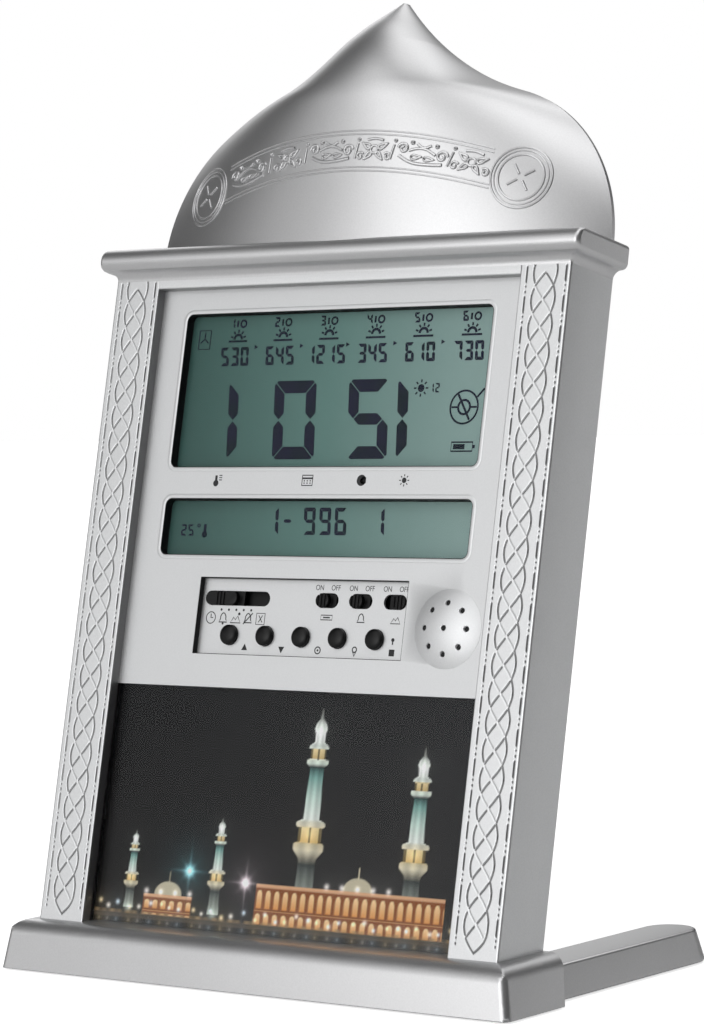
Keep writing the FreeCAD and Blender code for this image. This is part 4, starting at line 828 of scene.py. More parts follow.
plain_finishes = {
    "clock_display": display_glass, "date_display": display_glass, "zebra_strips": strip_rubber,
    "display_frame": white_styrene, "main_board": solder_mask, "key_board": solder_mask,
    "board_components": black_nylon, "ribbon_cable": white_styrene, "tact_switches": black_nylon,
    "slide_switches": black_nylon, "speaker_gasket": strip_rubber, "speaker_basket": plated_steel,
    "speaker_cone": cone_paper, "speaker_magnet": plated_steel, "battery_lower": shrink_film,
    "battery_upper": shrink_film, "contact_plates": plated_steel, "contact_springs": plated_steel,
    "board_screws": plated_steel}
for name, finish in plain_finishes.items():
    NODES[name].data.materials.clear()
    NODES[name].data.materials.append(finish)


# ---- windows, their rims and painted shade on the walls of the openings ----------------------------
WINDOW_HALF, WINDOW_CORNER = 41.2, 1.6
CLOCK_WINDOW, DATE_WINDOW = (100.2, 134.4), (80.9, 93.4)
FIELD_LEFT, FIELD_RIGHT, FIELD_LOW, FIELD_HIGH = -28.7, 27.2, 59.5, 76.2
FIELD_MID, FIELD_HALF = (FIELD_LEFT + FIELD_RIGHT) / 2, (FIELD_RIGHT - FIELD_LEFT) / 2
PICTURE_TOP = 52.4
SHEET_GAP = 0.16            # from a window's edge to its sheet
HAIR = 0.01                 # keeps two faces from lying in one plane
RIM_HALF, RIM_HEIGHT = 0.45, 0.08       # the raised rim round a window
SEAL_WIDTH, BAR_WIDTH = 1.3, 0.5        # black strips beside a window, and over and under it


def wall_shade_sheet(u_mid, half, low, high, corner, wall, back):
    """Painted shade: a black sheet on an opening's walls, from just behind the panel's face to its back."""
    return opening_ring(u_mid, half, low, high, corner, (-HAIR, -wall, -wall, -HAIR),
                        (PANEL + 0.05, PANEL + 0.05, back, back))


def display_seal(low, high):
    """Black strips between the sheet and the display, under all four edges of the window: partly the cell's
    black edge, partly painted shade under the window's edges.
    """
    front, back = LENS_BACK + HAIR, CELL_FRONT - HAIR
    upright = [box_skin(middle - SEAL_WIDTH / 2, middle + SEAL_WIDTH / 2, front, back,
                        low - 0.2, high + 0.2) for middle in (-WINDOW_HALF - 0.4, WINDOW_HALF + 0.4)]
    level = [box_skin(-WINDOW_HALF - 0.5, WINDOW_HALF + 0.5, front + 0.002, back - 0.002,
                      edge - BAR_WIDTH / 2, edge + BAR_WIDTH / 2) for edge in (low, high)]
    return upright + level


def picture_sheet():
    """The sheet over the picture: its section, cut level at the plinth, carried across the recess."""
    w = PANEL + WINDOW_WALL * np.array([0, 0, 1, 1])
    v = np.where([True, False, False, True], w * math.tan(LEAN) + 0.02, PICTURE_TOP - 0.05)
    return skin(stand(np.array([[0.05 - RECESS_HALF], [RECESS_HALF - 0.05]]), w, v), True, True)


half_turn = np.linspace(0, math.pi, 13)
rim_section = (0.02 + RIM_HALF * (1 - np.cos(half_turn)),
               PANEL + HAIR - RIM_HEIGHT * np.sin(half_turn))
rims, seals = [], []
wall_shade_sheets = [wall_shade_sheet(FIELD_MID, FIELD_HALF, FIELD_LOW, FIELD_HIGH, 0.2, 0.13, FIELD - HAIR)]
for node, (low, high) in (("clock_lens", CLOCK_WINDOW), ("date_lens", DATE_WINDOW)):
    outline = rounded_outline(WINDOW_HALF, low, high, WINDOW_CORNER, -SHEET_GAP)
    piece(node + "_sheet", "case", clear_acrylic,
          [mark(outline, WINDOW_FRONT, WINDOW_FRONT + WINDOW_WALL)], (node,))
    rims.append(opening_ring(0.0, WINDOW_HALF, low, high, WINDOW_CORNER, *rim_section))
    wall_shade_sheets.append(wall_shade_sheet(0.0, WINDOW_HALF, low, high, WINDOW_CORNER, 0.15, LENS_BACK - 0.02))
    seals += display_seal(low, high)
piece("window_rims", "case", panel_lacquer, rims)
# painted shade: black sheets on the walls of the openings, where shade falls
piece("opening_wall_shade", "case", black_nylon, wall_shade_sheets)
# partly painted shade: dark strips under the windows' edges
piece("display_seals", "case", black_nylon, seals)
piece("picture_window_sheet", "case", clear_acrylic, [picture_sheet()],
      ("picture_window",))


# ---- speaker grille --------------------------------------------------------------------------------
GRILLE_U, GRILLE_V = 38.3, 66.4
GRILLE_RADIUS, GRILLE_RISE = 8.3, 1.6
GRILLE_SPHERE = (GRILLE_RADIUS ** 2 + GRILLE_RISE ** 2) / (2 * GRILLE_RISE)
HOLE_RADIUS, HOLE_RING, HOLE_EDGE = 0.56, 5.3, 0.12
GRILLE_HOLES = [(0.0, 0.0)] + [(HOLE_RING * math.cos(t), HOLE_RING * math.sin(t))
                               for t in np.arange(8) * math.pi / 4]


def grille_rise(r):
    """How far the cap stands out at a distance from its middle: sqrt(R^2 - r^2) - R + rise."""
    return np.sqrt(GRILLE_SPHERE ** 2 - r ** 2) - GRILLE_SPHERE + GRILLE_RISE


def grille_cap():
    """The domed grille: a spherical cap on rings and spokes, with a blind hole wherever the distance
    to a hole's centre is less than its radius."""
    r = np.concatenate([[0.01], np.linspace(0.08, GRILLE_RADIUS, 96), [GRILLE_RADIUS]])[:, None]
    angle = np.linspace(0, 2 * math.pi, 337)[None, :-1]
    u, v = r * np.cos(angle), r * np.sin(angle)
    near = np.min([np.hypot(u - du, v - dv) for du, dv in GRILLE_HOLES], axis=0)
    hole = np.clip((HOLE_RADIUS + HOLE_EDGE / 2 - near) / HOLE_EDGE, 0, 1)
    depth = PANEL - 0.03 - grille_rise(r) + 0.75 * hole ** 1.5
    depth[-1] = PANEL + 0.05
    return skin(stand(GRILLE_U + u, depth, GRILLE_V + v), True, True)


def hole_shade_disc(du, dv):
    """Painted shade: a black disc at the foot of one blind hole, for the dark seen through a real hole."""
    face = PANEL - grille_rise(math.hypot(du, dv))
    return mark(circle(GRILLE_U + du, GRILLE_V + dv, HOLE_RADIUS - 0.02, 24), face + 0.28, face + 0.6)


piece("grille_cap", "case", grille_lacquer, [grille_cap()], crease=50.0)
# painted shade in the grille's blind holes
piece("grille_hole_shade_discs", "case", black_nylon,
      [hole_shade_disc(*hole) for hole in GRILLE_HOLES])


# ---- signs: figures of the displays and of the printing --------------------------------------------
def line(points, width):
    """A figure: an open line of a width."""
    return np.asarray(points, float), width, False


def loop(points, width):
    """A figure: a line that closes on itself."""
    return np.asarray(points, float), width, True


def patch(points):
    """A figure: a filled patch, which has no line width."""
    return np.asarray(points, float), 0.0, True


def rectangle(u_low, u_high, v_low, v_high):
    """The corners of an upright rectangle."""
    return [(u_low, v_low), (u_high, v_low), (u_high, v_high), (u_low, v_high)]


def rays(u, v, inner, outer, angles, width):
    """Figures of short lines that point away from (u, v), one for each angle."""
    reach = np.array([inner, outer])
    return [line(np.stack([u + reach * math.cos(a), v + reach * math.sin(a)], -1), width) for a in angles]


def moved(u, v, *figures):
    """Figures carried to (u, v)."""
    return [(points + (u, v), width, closed) for points, width, closed in figures]


def drawn(figures, front, back):
    """The surfaces of figures, between two planes."""
    return [stroke(points, width, front, back, closed) if width else mark(points, front, back)
            for points, width, closed in figures]


SUN_ANGLES = np.arange(8) * math.pi / 4


# ---- displays --------------------------------------------------------------------------------------
SEGMENT_FRONT = LENS_BACK + 0.01
SEGMENT_BACK = CELL_FRONT - 0.01
DIGIT_SLANT = -0.09         # u per v: the digits lean to the left


def seven_segments(text, u_start, v_mid, width, height, bar, pitch):
    """Seven-segment characters: each lit segment is a patch whose ends are cut at 45 degrees.

    A corner of the character is (s, t) with s across from 0 to width and t from -height/2 to
    height/2; it stands at u = start + s + slant t. The character l is a one at the left.
    """
    lit = {"0": "abcdef", "1": "bc", "2": "abged", "3": "abgcd", "4": "fgbc", "5": "afgcd", "6": "afgecd",
           "7": "abc", "8": "abcdefg", "9": "gfabcd", "-": "g", "l": "ef"}
    top, right, cut, gap = height / 2, width, bar * 0.3, bar * 0.05
    shapes = {
        "a": [(cut + gap, top), (right - cut - gap, top), (right - cut / 2 - gap, top - cut / 2),
              (right - bar - gap, top - bar), (bar + gap, top - bar), (cut / 2 + gap, top - cut / 2)],
        "f": [(0, top - cut - gap), (cut / 2, top - cut / 2 - gap), (bar, top - bar - gap),
              (bar, bar * 0.5 + gap), (bar * 0.5, gap), (0, bar * 0.5 + gap)],
        "g": [(bar * 0.5 + gap, 0), (bar + gap, bar * 0.45), (right - bar - gap, bar * 0.45),
              (right - bar * 0.5 - gap, 0), (right - bar - gap, -bar * 0.45), (bar + gap, -bar * 0.45)]}
    for upper, lower in (("a", "d"), ("f", "e")):
        shapes[lower] = [(s, -t) for s, t in shapes[upper]]
    shapes["b"] = [(right - s, t) for s, t in shapes["f"]]
    shapes["c"] = [(right - s, t) for s, t in shapes["e"]]
    patches = []
    for place, character in enumerate(text):
        for segment in lit[character]:
            s, t = np.array(shapes[segment], float).T
            patches.append(mark(np.stack([u_start + place * pitch + s + DIGIT_SLANT * t, v_mid + t], -1),
                                SEGMENT_FRONT, SEGMENT_BACK))
    return patches


def display_digits():
    """All that the two displays show, in the dark crystal itself."""
    digits, figures = [], []
    for text, start, width in (("l", -28.1, 3.0), ("0", -15.4, 11.4), ("5", 4.8, 10.6), ("l", 17.8, 3.0)):
        digits += seven_segments(text, start, 110.85, width, 17.2, 2.75, 12.0)
    for text, start in (("1", -13.9), ("-", -9.9), ("9", -3.9), ("9", 0.25), ("6", 4.4), ("1", 14.4)):
        digits += seven_segments(text, start, 88.85, 3.1, 5.9, 0.85, 4.2)
    # six columns: a number, a small clock, a sun on its horizon and a time
    for column, text in enumerate(("530", "645", "1215", "345", "610", "730")):
        u_mid = -27.9 + 12.54 * column
        start = u_mid - 0.5 * (2.75 * len(text) - 0.55) - 0.4
        digits += seven_segments(text, start, 125.1, 2.25, 4.2, 0.72, 2.75)
        digits += seven_segments(str(column + 1), u_mid - 2.7, 132.5, 1.4, 2.2, 0.46, 1.6)
        sun = 128.9 + 0.35 * math.sin(math.pi * column / 5)
        figures += moved(u_mid, 0.0, loop(circle(1.1, 132.4, 0.75, 18), 0.45),
                         line([(-0.5, 131.7), (-0.5, 133.1)], 0.5),
                         line([(-2.6, 128.5), (2.6, 128.5)], 0.46),
                         line(circle(0.0, sun, 1.05, 14, 0.0, math.pi), 0.6),
                         *rays(0.0, sun, 1.5, 2.2, (np.arange(5) + 0.5) * math.pi / 5, 0.42),
                         patch([(4.9, 126.6), (5.9, 127.1), (4.9, 127.6)]))
    # a framed figure at the left, a compass and a battery at the right, a sun, a thermometer
    figures += [loop(rectangle(-38.9, -35.7, 126.9, 131.1), 0.3),
                line([(-38.4, 128.3), (-37.3, 129.2), (-36.2, 128.3)], 0.35),
                line([(-37.3, 129.4), (-37.3, 130.6)], 0.35)]
    figures += moved(34.8, 113.1, loop(circle(0.0, 0.0, 3.5, 36), 0.42),
                     loop(circle(0.0, 0.0, 1.5, 20), 0.5), line([(-1.8, 2.8), (1.6, -2.7)], 0.5),
                     line([(-3.2, 0.0), (-1.6, 0.0)], 0.4), line([(1.6, 0.0), (3.2, 0.0)], 0.4),
                     line([(3.1, 2.1), (4.8, 3.9)], 0.45))
    figures += [loop(rectangle(32.6, 38.0, 103.8, 105.7), 0.32), patch(rectangle(33.1, 36.0, 104.2, 105.3)),
                patch(rectangle(38.0, 38.6, 104.4, 105.1)), patch(circle(23.2, 117.3, 0.85, 16)),
                *rays(23.2, 117.3, 1.2, 1.85, SUN_ANGLES, 0.34), loop(circle(-32.7, 87.7, 0.35, 12), 0.25),
                line([(-30.9, 85.7), (-30.9, 88.0)], 0.75), patch(circle(-30.9, 85.8, 0.75, 16))]
    digits += seven_segments("12", 25.4, 117.3, 1.1, 2.0, 0.34, 1.5)
    digits += seven_segments("25", -37.6, 86.7, 1.5, 2.5, 0.42, 2.0)
    return digits + drawn(figures, SEGMENT_FRONT, SEGMENT_BACK)


piece("display_digits", "case", crystal_ink, display_digits())


# ---- printing on the panel -------------------------------------------------------------------------
BELL = np.array([(-1.1, -0.9), (-0.75, -0.3), (-0.7, 0.4), (-0.35, 0.95), (0.0, 1.1), (0.35, 0.95),
                 (0.7, 0.4), (0.75, -0.3), (1.1, -0.9)])
HILL = np.array([(-1.4, -1.0), (-0.5, 0.2), (0.0, -0.35), (0.55, 0.5), (1.4, -1.0)])
SIGN_ROW, LABEL_ROW, BUTTON_ROW, WORD_ROW = 67.55, 68.25, 61.25, 74.6


def panel_signs():
    """Under the large window: a thermometer, a month sheet, a crescent and a sun."""
    arc = 2 * math.pi - 1.4
    return [line([(-27.7, 96.9), (-27.7, 98.4)], 0.62), patch(circle(-27.7, 96.7, 0.72, 18)),
            *(line([(-26.9, tick), (-26.1, tick)], 0.2) for tick in (97.4, 97.9, 98.4)),
            loop(rectangle(-4.0, -1.2, 96.2, 98.4), 0.26), line([(-4.0, 97.75), (-1.2, 97.75)], 0.36),
            *(patch(circle(u, v, 0.17, 8)) for v in (96.7, 97.2) for u in (-3.4, -2.6, -1.8)),
            patch(np.concatenate([circle(11.8, 97.3, 1.2, 30, 0.7, arc),
                                  circle(12.35, 97.3, 0.85, 30, 0.7, arc)[::-1]])),
            patch(circle(23.0, 97.3, 0.6, 18)), *rays(23.0, 97.3, 0.85, 1.3, SUN_ANGLES, 0.22)]


def field_signs():
    """On the control field: a dot and a sign for each place of the long slide, a sign under each
    small switch, and one beside each button."""
    clock, first, mountain, second, glass = (-25.8 + 3.42 * k for k in range(5))
    return [*(patch(circle(FIELD_LEFT + 5.6 + 2.05 * place, 69.35, 0.27, 12)) for place in range(5)),
            *moved(clock, SIGN_ROW, loop(circle(0.0, 0.0, 1.25, 30), 0.2),
                   line([(0.0, 0.85), (0.0, 0.0), (0.6, 0.0)], 0.22)),
            *moved(first, SIGN_ROW, loop(BELL, 0.24), patch(circle(0.0, -1.2, 0.26, 10))),
            *moved(mountain, SIGN_ROW, loop(HILL, 0.24), patch(circle(0.9, 0.95, 0.32, 12))),
            *moved(second, SIGN_ROW, loop(BELL, 0.24), line([(-1.2, -1.2), (1.2, 1.2)], 0.24)),
            *moved(glass, SIGN_ROW, loop(rectangle(-1.15, 1.15, -1.2, 1.2), 0.2),
                   loop([(-0.5, 0.75), (0.5, 0.75), (-0.5, -0.75), (0.5, -0.75)], 0.22)),
            *moved(5.6, LABEL_ROW, loop(rectangle(-1.5, 1.5, -0.5, 0.5), 0.2),
                   line([(-0.9, 0.0), (0.9, 0.0)], 0.3)),
            *moved(14.7, LABEL_ROW, loop(BELL * 0.9, 0.22)),
            *moved(23.7, LABEL_ROW, loop(HILL * 0.9, 0.22)),
            *moved(-15.6, BUTTON_ROW, patch([(-0.8, -0.5), (0.8, -0.5), (0.0, 0.9)])),
            *moved(-5.6, BUTTON_ROW, patch([(-0.8, 0.5), (0.8, 0.5), (0.0, -0.9)])),
            *moved(4.2, BUTTON_ROW, loop(circle(0.0, 0.0, 0.72, 20), 0.26),
                   patch(circle(0.0, 0.0, 0.25, 10))),
            *moved(13.9, BUTTON_ROW, loop(circle(0.0, 0.4, 0.55, 18), 0.26),
                   line([(-0.4, 0.0), (0.0, -1.0), (0.4, 0.0)], 0.24)),
            *moved(23.6, BUTTON_ROW, patch(rectangle(-0.7, 0.7, -0.7, 0.7)),
                   patch(circle(0.0, 2.7, 0.42, 12)), line([(0.0, 2.3), (0.0, 1.7)], 0.3))]


def lettering(text, u_mid, v_mid, height=1.15, narrow=0.85):
    """A small printed word on the control field: set in the plain built-in letter, made a mesh,
    scaled to its capital height, drawn in by narrow and centred on (u, v)."""
    curve = bpy.data.curves.new(text, "FONT")
    curve.body, curve.extrude = text, 0.01
    holder = bpy.data.objects.new(text, curve)
    bpy.context.scene.collection.objects.link(holder)
    bpy.context.view_layer.update()
    flat = bpy.data.meshes.new_from_object(holder)
    bpy.data.objects.remove(holder)
    local = np.zeros(3 * len(flat.vertices))
    corners, starts = np.zeros(len(flat.loops), np.int32), np.zeros(len(flat.polygons), np.int32)
    flat.vertices.foreach_get("co", local)
    flat.loops.foreach_get("vertex_index", corners)
    flat.polygons.foreach_get("loop_start", starts)
    local = local.reshape(-1, 3)
    low, high = local.min(0), local.max(0)
    across, up, out = ((local - (low + high) / 2) * height / (high - low)[1]).T
    placed = stand(u_mid + narrow * across, FIELD - PRINT / 2 * (1 + np.sign(out)), v_mid + up)
    return placed, np.zeros((0, 4), int), np.split(corners, starts[1:])


piece("panel_printing", "case", screen_ink,
      drawn(panel_signs(), PANEL - PRINT, PANEL + 0.01) + drawn(field_signs(), FIELD - PRINT, FIELD + 0.01))
piece("switch_words", "case", screen_ink,
      [lettering(text, slot_mid + off, WORD_ROW) for slot_mid in (5.3, 14.25, 23.15)
       for text, off in (("ON", -2.3), ("OFF", 2.0))])


# ---- picture ---------------------------------------------------------------------------------------
# A lit tower from foot to top: share of the height, half width, red, green, blue (linear).
TOWER = np.array([
    (0.00, 1.25, 0.60, 0.68, 0.60), (0.10, 1.12, 0.32, 0.36, 0.32), (0.24, 1.00, 0.05, 0.06, 0.06),
    (0.27, 1.10, 0.30, 0.28, 0.22), (0.31, 1.80, 0.85, 0.78, 0.58), (0.34, 1.80, 0.75, 0.66, 0.44),
    (0.35, 1.35, 0.80, 0.56, 0.22), (0.42, 1.35, 0.95, 0.78, 0.42), (0.425, 1.75, 0.90, 0.84, 0.66),
    (0.445, 1.70, 0.80, 0.78, 0.62), (0.46, 0.98, 0.92, 0.98, 0.92), (0.56, 0.92, 0.66, 0.84, 0.76),
    (0.66, 0.84, 0.24, 0.46, 0.42), (0.70, 0.82, 0.08, 0.17, 0.16), (0.715, 0.90, 0.04, 0.05, 0.05),
    (0.73, 1.30, 0.80, 0.90, 0.80), (0.75, 1.30, 0.85, 0.92, 0.80), (0.755, 0.90, 0.60, 0.44, 0.20),
    (0.80, 0.90, 0.85, 0.70, 0.38), (0.805, 1.20, 0.85, 0.92, 0.84), (0.82, 1.10, 0.70, 0.76, 0.70),
    (0.835, 0.60, 0.95, 1.00, 0.95), (0.88, 0.62, 1.00, 1.00, 1.00), (0.90, 0.78, 0.95, 1.00, 0.95),
    (0.925, 0.62, 0.80, 0.86, 0.80), (0.95, 0.22, 0.35, 0.37, 0.34), (1.00, 0.10, 0.14, 0.14, 0.13)])


ARCH_PITCH = 2.3            # of the arcade, mm
SHORE_LAMPS, LAMP_PITCH = 34, 2.85


def picture_card():
    """The card behind its window: a lit night view by the water, painted by formulas.

    Colour at (x, y), millimetres from the picture's lower left corner: a sky that pales downwards and
    brightens to the right, where the brightening is a painted reflection of the window's sheen, slim lit
    lantern towers, a low arcade with warm arches, a shore line of small lamps and two lamps with glows,
    each an exponential of the distance with a thin cross of rays.
    """
    width, height = 2 * RECESS_HALF, PICTURE_TOP
    u = np.linspace(-RECESS_HALF + 0.05, RECESS_HALF - 0.05, 380)
    v = np.concatenate([np.linspace(0.85, 8.0, 40)[:-1], np.linspace(8.0, height - 0.05, 168)])
    x, y = np.meshgrid(u + RECESS_HALF, v)
    rng = np.random.default_rng(7)
    # the sky: its paling downwards is print, its brightening to the right a painted reflection of the
    # window's sheen
    colour = (np.array([0.005, 0.005, 0.006]) + (x / width)[..., None] * np.array([0.013, 0.013, 0.014])
              + (1 - y / height)[..., None] * np.array([0.004, 0.003, 0.002]))

    def lay(cover, tint):
        """Paints a tint where the cover is 1, and mixes it in between."""
        nonlocal colour
        cover = np.clip(cover, 0, 1)[..., None]
        colour = colour * (1 - cover) + np.array(tint) * cover

    def glow(x0, y0, tint, size, core, star=0.0, haze=0.10):
        """Adds light round a point: core exp(-(d / size)^2), a wide haze and a cross of thin rays."""
        nonlocal colour
        d = np.hypot(x - x0, y - y0)
        light = core * np.exp(-(d / size) ** 2) + haze * np.exp(-d / (3.2 * size))
        if star:
            a, b = np.abs(x - x0), np.abs(y - y0)
            c, e = (np.abs((x - x0) + sign * (y - y0)) * math.sqrt(0.5) for sign in (1, -1))
            light = light + star * (np.exp(-a / 0.22 - b / 1.5) + np.exp(-b / 0.22 - a / 1.5))
            light = light + 0.6 * star * (np.exp(-c / 0.2 - e / 1.1) + np.exp(-e / 0.2 - c / 1.1))
        colour = colour + light[..., None] * np.array(tint)

    def inside(x0, x1, y0, y1):
        """1 inside an upright rectangle, falling to 0 over a soft edge."""
        return np.prod([np.clip(edge / 0.16, 0, 1) for edge in (x - x0, x1 - x, y - y0, y1 - y)], axis=0)

    def lantern(x0, foot, top, half):
        """A slim lit tower: its half width and its colour are both read off TOWER by height, with
        flutes up the shaft, posts in front of the warm galleries and a glow at the top."""
        share = (y - foot) / (top - foot)
        level, wide, *tint = TOWER.T
        reach = half * np.interp(share, level, wide)
        body = np.stack([np.interp(share, level, channel) for channel in tint], -1)
        across = (x - x0) / reach
        shade = 0.62 + 0.38 * np.cos(np.clip(across + 0.25, -1.5, 1.5))
        gallery = ((share > 0.345) & (share < 0.42)) | ((share > 0.75) & (share < 0.80))
        shade = shade * np.where(gallery, 1 - 0.75 * (np.abs(np.cos(across * 3.6)) > 0.93),
                                 0.86 + 0.14 * np.cos(across * 7.0))
        cover = np.clip((reach - np.abs(x - x0)) / 0.18, 0, 1) * (share > 0) * (share < 1)
        lay(cover, body * shade[..., None])
        glow(x0, foot + 0.89 * (top - foot), (0.8, 0.9, 0.8), 0.45 * half, 0.4, haze=0.02)
        glow(x0, foot + 0.385 * (top - foot), (0.9, 0.7, 0.35), 0.5 * half, 0.25, haze=0.01)
        glow(x0, foot, (0.7, 0.8, 0.7), 0.7 * half, 0.5, haze=0.03)

    for tower in ((56.5, 6.0, 49.0, 2.25), (84.0, 6.0, 42.0, 2.05), (9.5, 4.2, 21.0, 1.15),
                  (33.0, 4.2, 25.0, 1.3)):
        lantern(*tower)
    # arcade with warm arches
    for start, end, top in ((44.0, 93.0, 11.6), (13.5, 27.0, 7.6)):
        lay(inside(start, end, 2.2, top), (0.26, 0.085, 0.03))
        lay(inside(start, end, top - 0.8, top), (0.72, 0.42, 0.24))
        lay(inside(start, end, 0.5 * top, 0.5 * top + 0.3), (0.62, 0.34, 0.15))
        local = (x - start) % ARCH_PITCH - ARCH_PITCH / 2
        for low, high in ((2.9, 0.5 * top - 0.3), (0.5 * top + 0.6, top - 1.2)):
            spring = np.clip(((y - low) / (high - low) - 0.62) / 0.38, 0, 1)
            reach = 0.8 * np.sqrt(1 - spring ** 2)
            arch = inside(start, end, low, high) * np.clip((reach - np.abs(local)) / 0.2, 0, 1)
            lay(arch * 0.85, (0.80, 0.34, 0.09))
            lay(arch * np.clip((y - low) / (high - low), 0, 1) * 0.7, (1.0, 0.84, 0.50))
    for middle, level in ((70.5, 11.6), (20.2, 7.6)):
        roof = np.clip((3.2 - np.hypot((x - middle) * 0.82, (y - level) * 1.1)) / 0.25, 0, 1) * (y > level)
        lay(roof, (0.55, 0.50, 0.36))
        lay(inside(middle - 0.16, middle + 0.16, level + 2.6, level + 5.0), (0.80, 0.72, 0.5))
        for x0 in np.arange(middle - 6.0 - 2.0 * (level > 9), middle + 9.0, 4.0):
            glow(x0, level + 0.5, (1.0, 0.95, 0.9), 0.55, 0.9, haze=0.03)
    # shore, its lamps and their reflections
    lay(inside(-1, width + 1, 1.9, 3.2), (0.070, 0.055, 0.042))
    shore = 0.5 + 0.5 * np.sin(x * 2.1) * np.sin(x * 0.77 + 1.0)
    lay(inside(-1, width + 1, 2.9, 3.7) * shore * 0.8, (0.34, 0.23, 0.12))
    for k in range(SHORE_LAMPS):
        x0 = 1.5 + LAMP_PITCH * k + rng.uniform(-0.7, 0.7)
        y0 = 4.3 + rng.uniform(-0.5, 1.2)
        tint = ((1.0, 0.82, 0.5), (1.0, 0.95, 0.85), (0.75, 0.9, 1.0))[k % 3]
        glow(x0, y0, tint, 0.36 + 0.14 * rng.random(), 0.9, haze=0.04)
        glow(x0, 1.5, tint, 0.3, 0.12)
    for x0, y0, tint in ((41.0, 11.5, (1.0, 0.86, 0.92)), (25.5, 13.0, (0.40, 0.90, 1.0))):
        lay(inside(x0 - 0.12, x0 + 0.12, 3.0, y0 - 0.8), (0.10, 0.10, 0.10))
        glow(x0, y0, tint, 1.0, 1.4, 0.9)
    colour = np.clip(colour, 0, 1)

    loop_v = np.concatenate([v, [v[-1], v[0]]])[None]
    loop_w = np.concatenate([np.full(len(v), CARD_FRONT), [CARD_BACK, CARD_BACK]])[None]
    made = piece("picture_print", "case", card_print,
                 [skin(stand(u[:, None], loop_w, loop_v), True, True)], ("picture_card",))
    back = np.full((len(u), 2, 3), 0.75)
    tones = np.concatenate([colour.transpose(1, 0, 2), back], 1).reshape(-1, 3)
    tones = np.concatenate([tones, np.ones((len(tones), 1))], 1).astype(np.float32)
    layer = made.data.color_attributes.new("print", "FLOAT_COLOR", "POINT")
    layer.data.foreach_set("color", tones.ravel())


picture_card()


# ---- floor, light and camera -----------------------------------------------------------------------
def floor_material():
    """Pale matt studio paper; seen straight on it glows a little, so that it reads as white and
    keeps the clock's shadow."""
    made, tree = empty_material("pale_studio_paper")
    paper = add(tree, "BsdfPrincipled", {"Base Color": spread(tree, noise(tree, 3.0), 0.84, 0.88, 0.0, 1.0),
                                         "Roughness": 0.9, "Specular IOR Level": 0.1}).outputs[0]
    white = add(tree, "Emission", {"Strength": 0.75}).outputs[0]
    both = add(tree, "AddShader", {0: paper, 1: white}).outputs[0]
    path = add(tree, "LightPath")
    blend = add(tree, "MixShader", {0: path.outputs["Is Camera Ray"], 1: paper, 2: both})
    add(tree, "OutputMaterial", {"Surface": blend.outputs[0]})
    return made


floor_mesh = bpy.data.meshes.new("floor")
floor_mesh.from_pydata([(-4, -4, 0), (4, -4, 0), (4, 4, 0), (-4, 4, 0)], [], [(0, 1, 2, 3)])
floor_mesh.materials.append(floor_material())
floor = bpy.data.objects.new("floor", floor_mesh)
bpy.context.scene.collection.objects.link(floor)


def bearing(azimuth, elevation):
    """Unit vector towards a bearing in degrees: azimuth from the front to the right, elevation up."""
    azimuth, elevation = math.radians(azimuth), math.radians(elevation)
    return Vector((math.sin(azimuth) * math.cos(elevation), -math.cos(azimuth) * math.cos(elevation),
                   math.sin(elevation)))


ROOM_GREY = 0.01
SOFT_BOXES = (
    (-22, 6, 30.0, 2.0), (-9, -3, 30.0, 1.45), (-2, 12, 30.0, 2.0),     # the front box
    (6, 28, 30.0, 1.0), (-27, 32, 30.0, 1.05), (-54, 10, 30.0, 0.85),   # its top and its left end
    (-19, 52, 30.0, 1.2), (34, 56, 30.0, 1.7), (47, 78, 24.0, 1.8),     # overhead, front to back
    (-169, 71, 30.0, 1.5), (171, 57, 30.0, 0.85), (-176, 43, 30.0, 1.05),
    (-131, 27, 30.0, 1.6), (148, 3, 30.0, 0.7))     # behind at the left, a pale wall at the right
BACKDROP = (-142, 3, 60.0)              # the white backdrop's middle, and its power


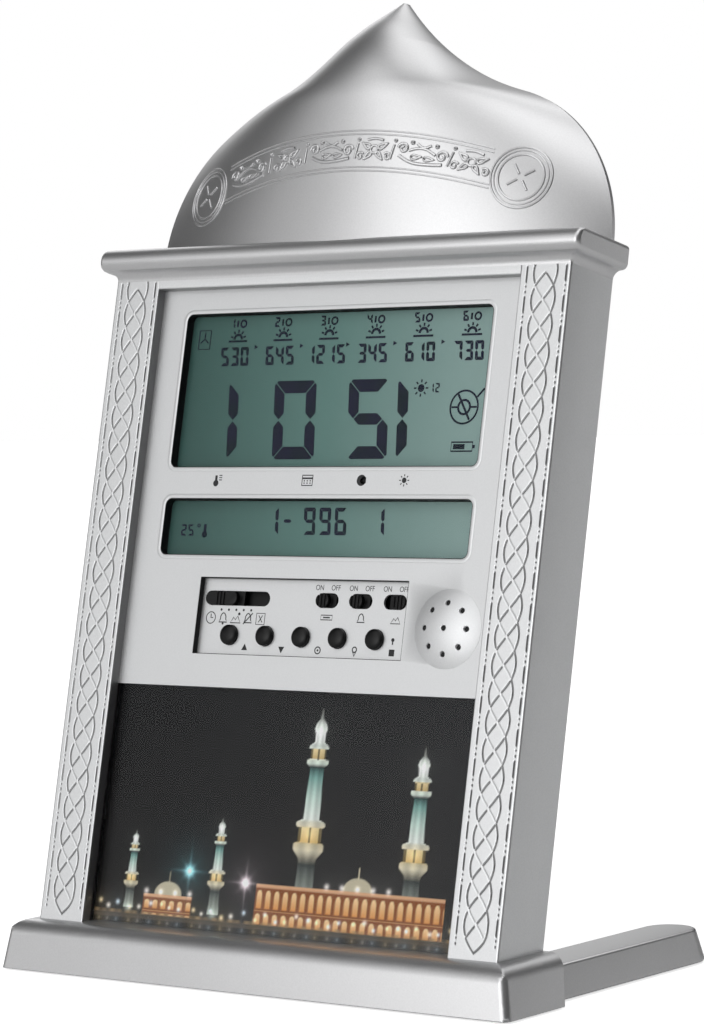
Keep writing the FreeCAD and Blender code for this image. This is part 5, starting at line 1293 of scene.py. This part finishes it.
def studio_world():
    """White to the camera, and to gloss and glass where the white backdrop stands behind the clock;
    for light, a dark room with soft boxes in front, overhead and behind.

    A box is (azimuth, elevation, power, strength): the cosine of the angle to its middle, held above
    0 and raised to the power, times the strength.
    """
    world = bpy.data.worlds.new("studio")
    bpy.context.scene.world = world
    world.use_nodes = True
    tree = world.node_tree
    tree.nodes.clear()
    ray = add(tree, "TexCoord").outputs["Generated"]

    def lobe(azimuth, elevation, power):
        """A soft box's light, as a share, from the ray's direction."""
        cosine = add(tree, "VectorMath", {0: ray, 1: bearing(azimuth, elevation)}, operation="DOT_PRODUCT")
        return calculate(tree, "POWER", calculate(tree, "MAXIMUM", cosine.outputs["Value"], 0.0), power)

    total = ROOM_GREY
    for *middle, strength in SOFT_BOXES:
        total = calculate(tree, "ADD", calculate(tree, "MULTIPLY", lobe(*middle), strength), total)
    room = add(tree, "Background", {"Color": (1, 1, 1, 1), "Strength": total})
    white = add(tree, "Background", {"Color": (1, 1, 1, 1), "Strength": 1.0})
    path = add(tree, "LightPath").outputs
    mirrored = calculate(tree, "MAXIMUM", path["Is Glossy Ray"], path["Is Transmission Ray"])
    behind = calculate(tree, "MULTIPLY", mirrored, lobe(*BACKDROP))
    seen = calculate(tree, "MAXIMUM", behind, path["Is Camera Ray"])
    blend = add(tree, "MixShader", {0: seen, 1: room.outputs[0], 2: white.outputs[0]})
    add(tree, "OutputWorld", {"Surface": blend.outputs[0]})


def key_lamp():
    """A weak square soft box in front at the left, which faces the clock and draws its shadow."""
    light = bpy.data.lights.new("key", "AREA")
    light.shape, light.size, light.energy = "SQUARE", 0.7, 0.4
    made = bpy.data.objects.new("key", light)
    made.location = (-0.25, -1.2, 0.75)
    made.rotation_mode = "QUATERNION"
    made.rotation_quaternion = (Vector((0, 0, 0.1)) - made.location).to_track_quat("-Z", "Y")
    bpy.context.scene.collection.objects.link(made)


CAMERA_TARGET = Vector((0.0, -0.0002, 0.09787))
CAMERA_BACK = bearing(37.5, 2.43)       # from the target towards the camera
CAMERA_DISTANCE = 0.7812
CAMERA_ROLL = math.radians(-1.5)
CAMERA_LENS = 128.11                    # mm, on a sensor 36 mm high


def place_camera():
    """The view: from the right and a little above, turned a little about its own axis."""
    data = bpy.data.cameras.new("camera")
    data.sensor_fit, data.sensor_width, data.lens = "AUTO", 36.0, CAMERA_LENS
    data.clip_start, data.clip_end = 0.05, 20.0
    camera = bpy.data.objects.new("camera", data)
    bpy.context.scene.collection.objects.link(camera)
    right = Vector((0, 0, 1)).cross(CAMERA_BACK).normalized()
    up = CAMERA_BACK.cross(right)
    axes = (right * math.cos(CAMERA_ROLL) + up * math.sin(CAMERA_ROLL),
            up * math.cos(CAMERA_ROLL) - right * math.sin(CAMERA_ROLL), CAMERA_BACK)
    camera.matrix_world = (Matrix.Translation(CAMERA_TARGET + CAMERA_DISTANCE * CAMERA_BACK)
                           @ Matrix(axes).transposed().to_4x4())
    bpy.context.scene.camera = camera


studio_world()
key_lamp()
place_camera()
bpy.context.scene.view_settings.view_transform = "Standard"
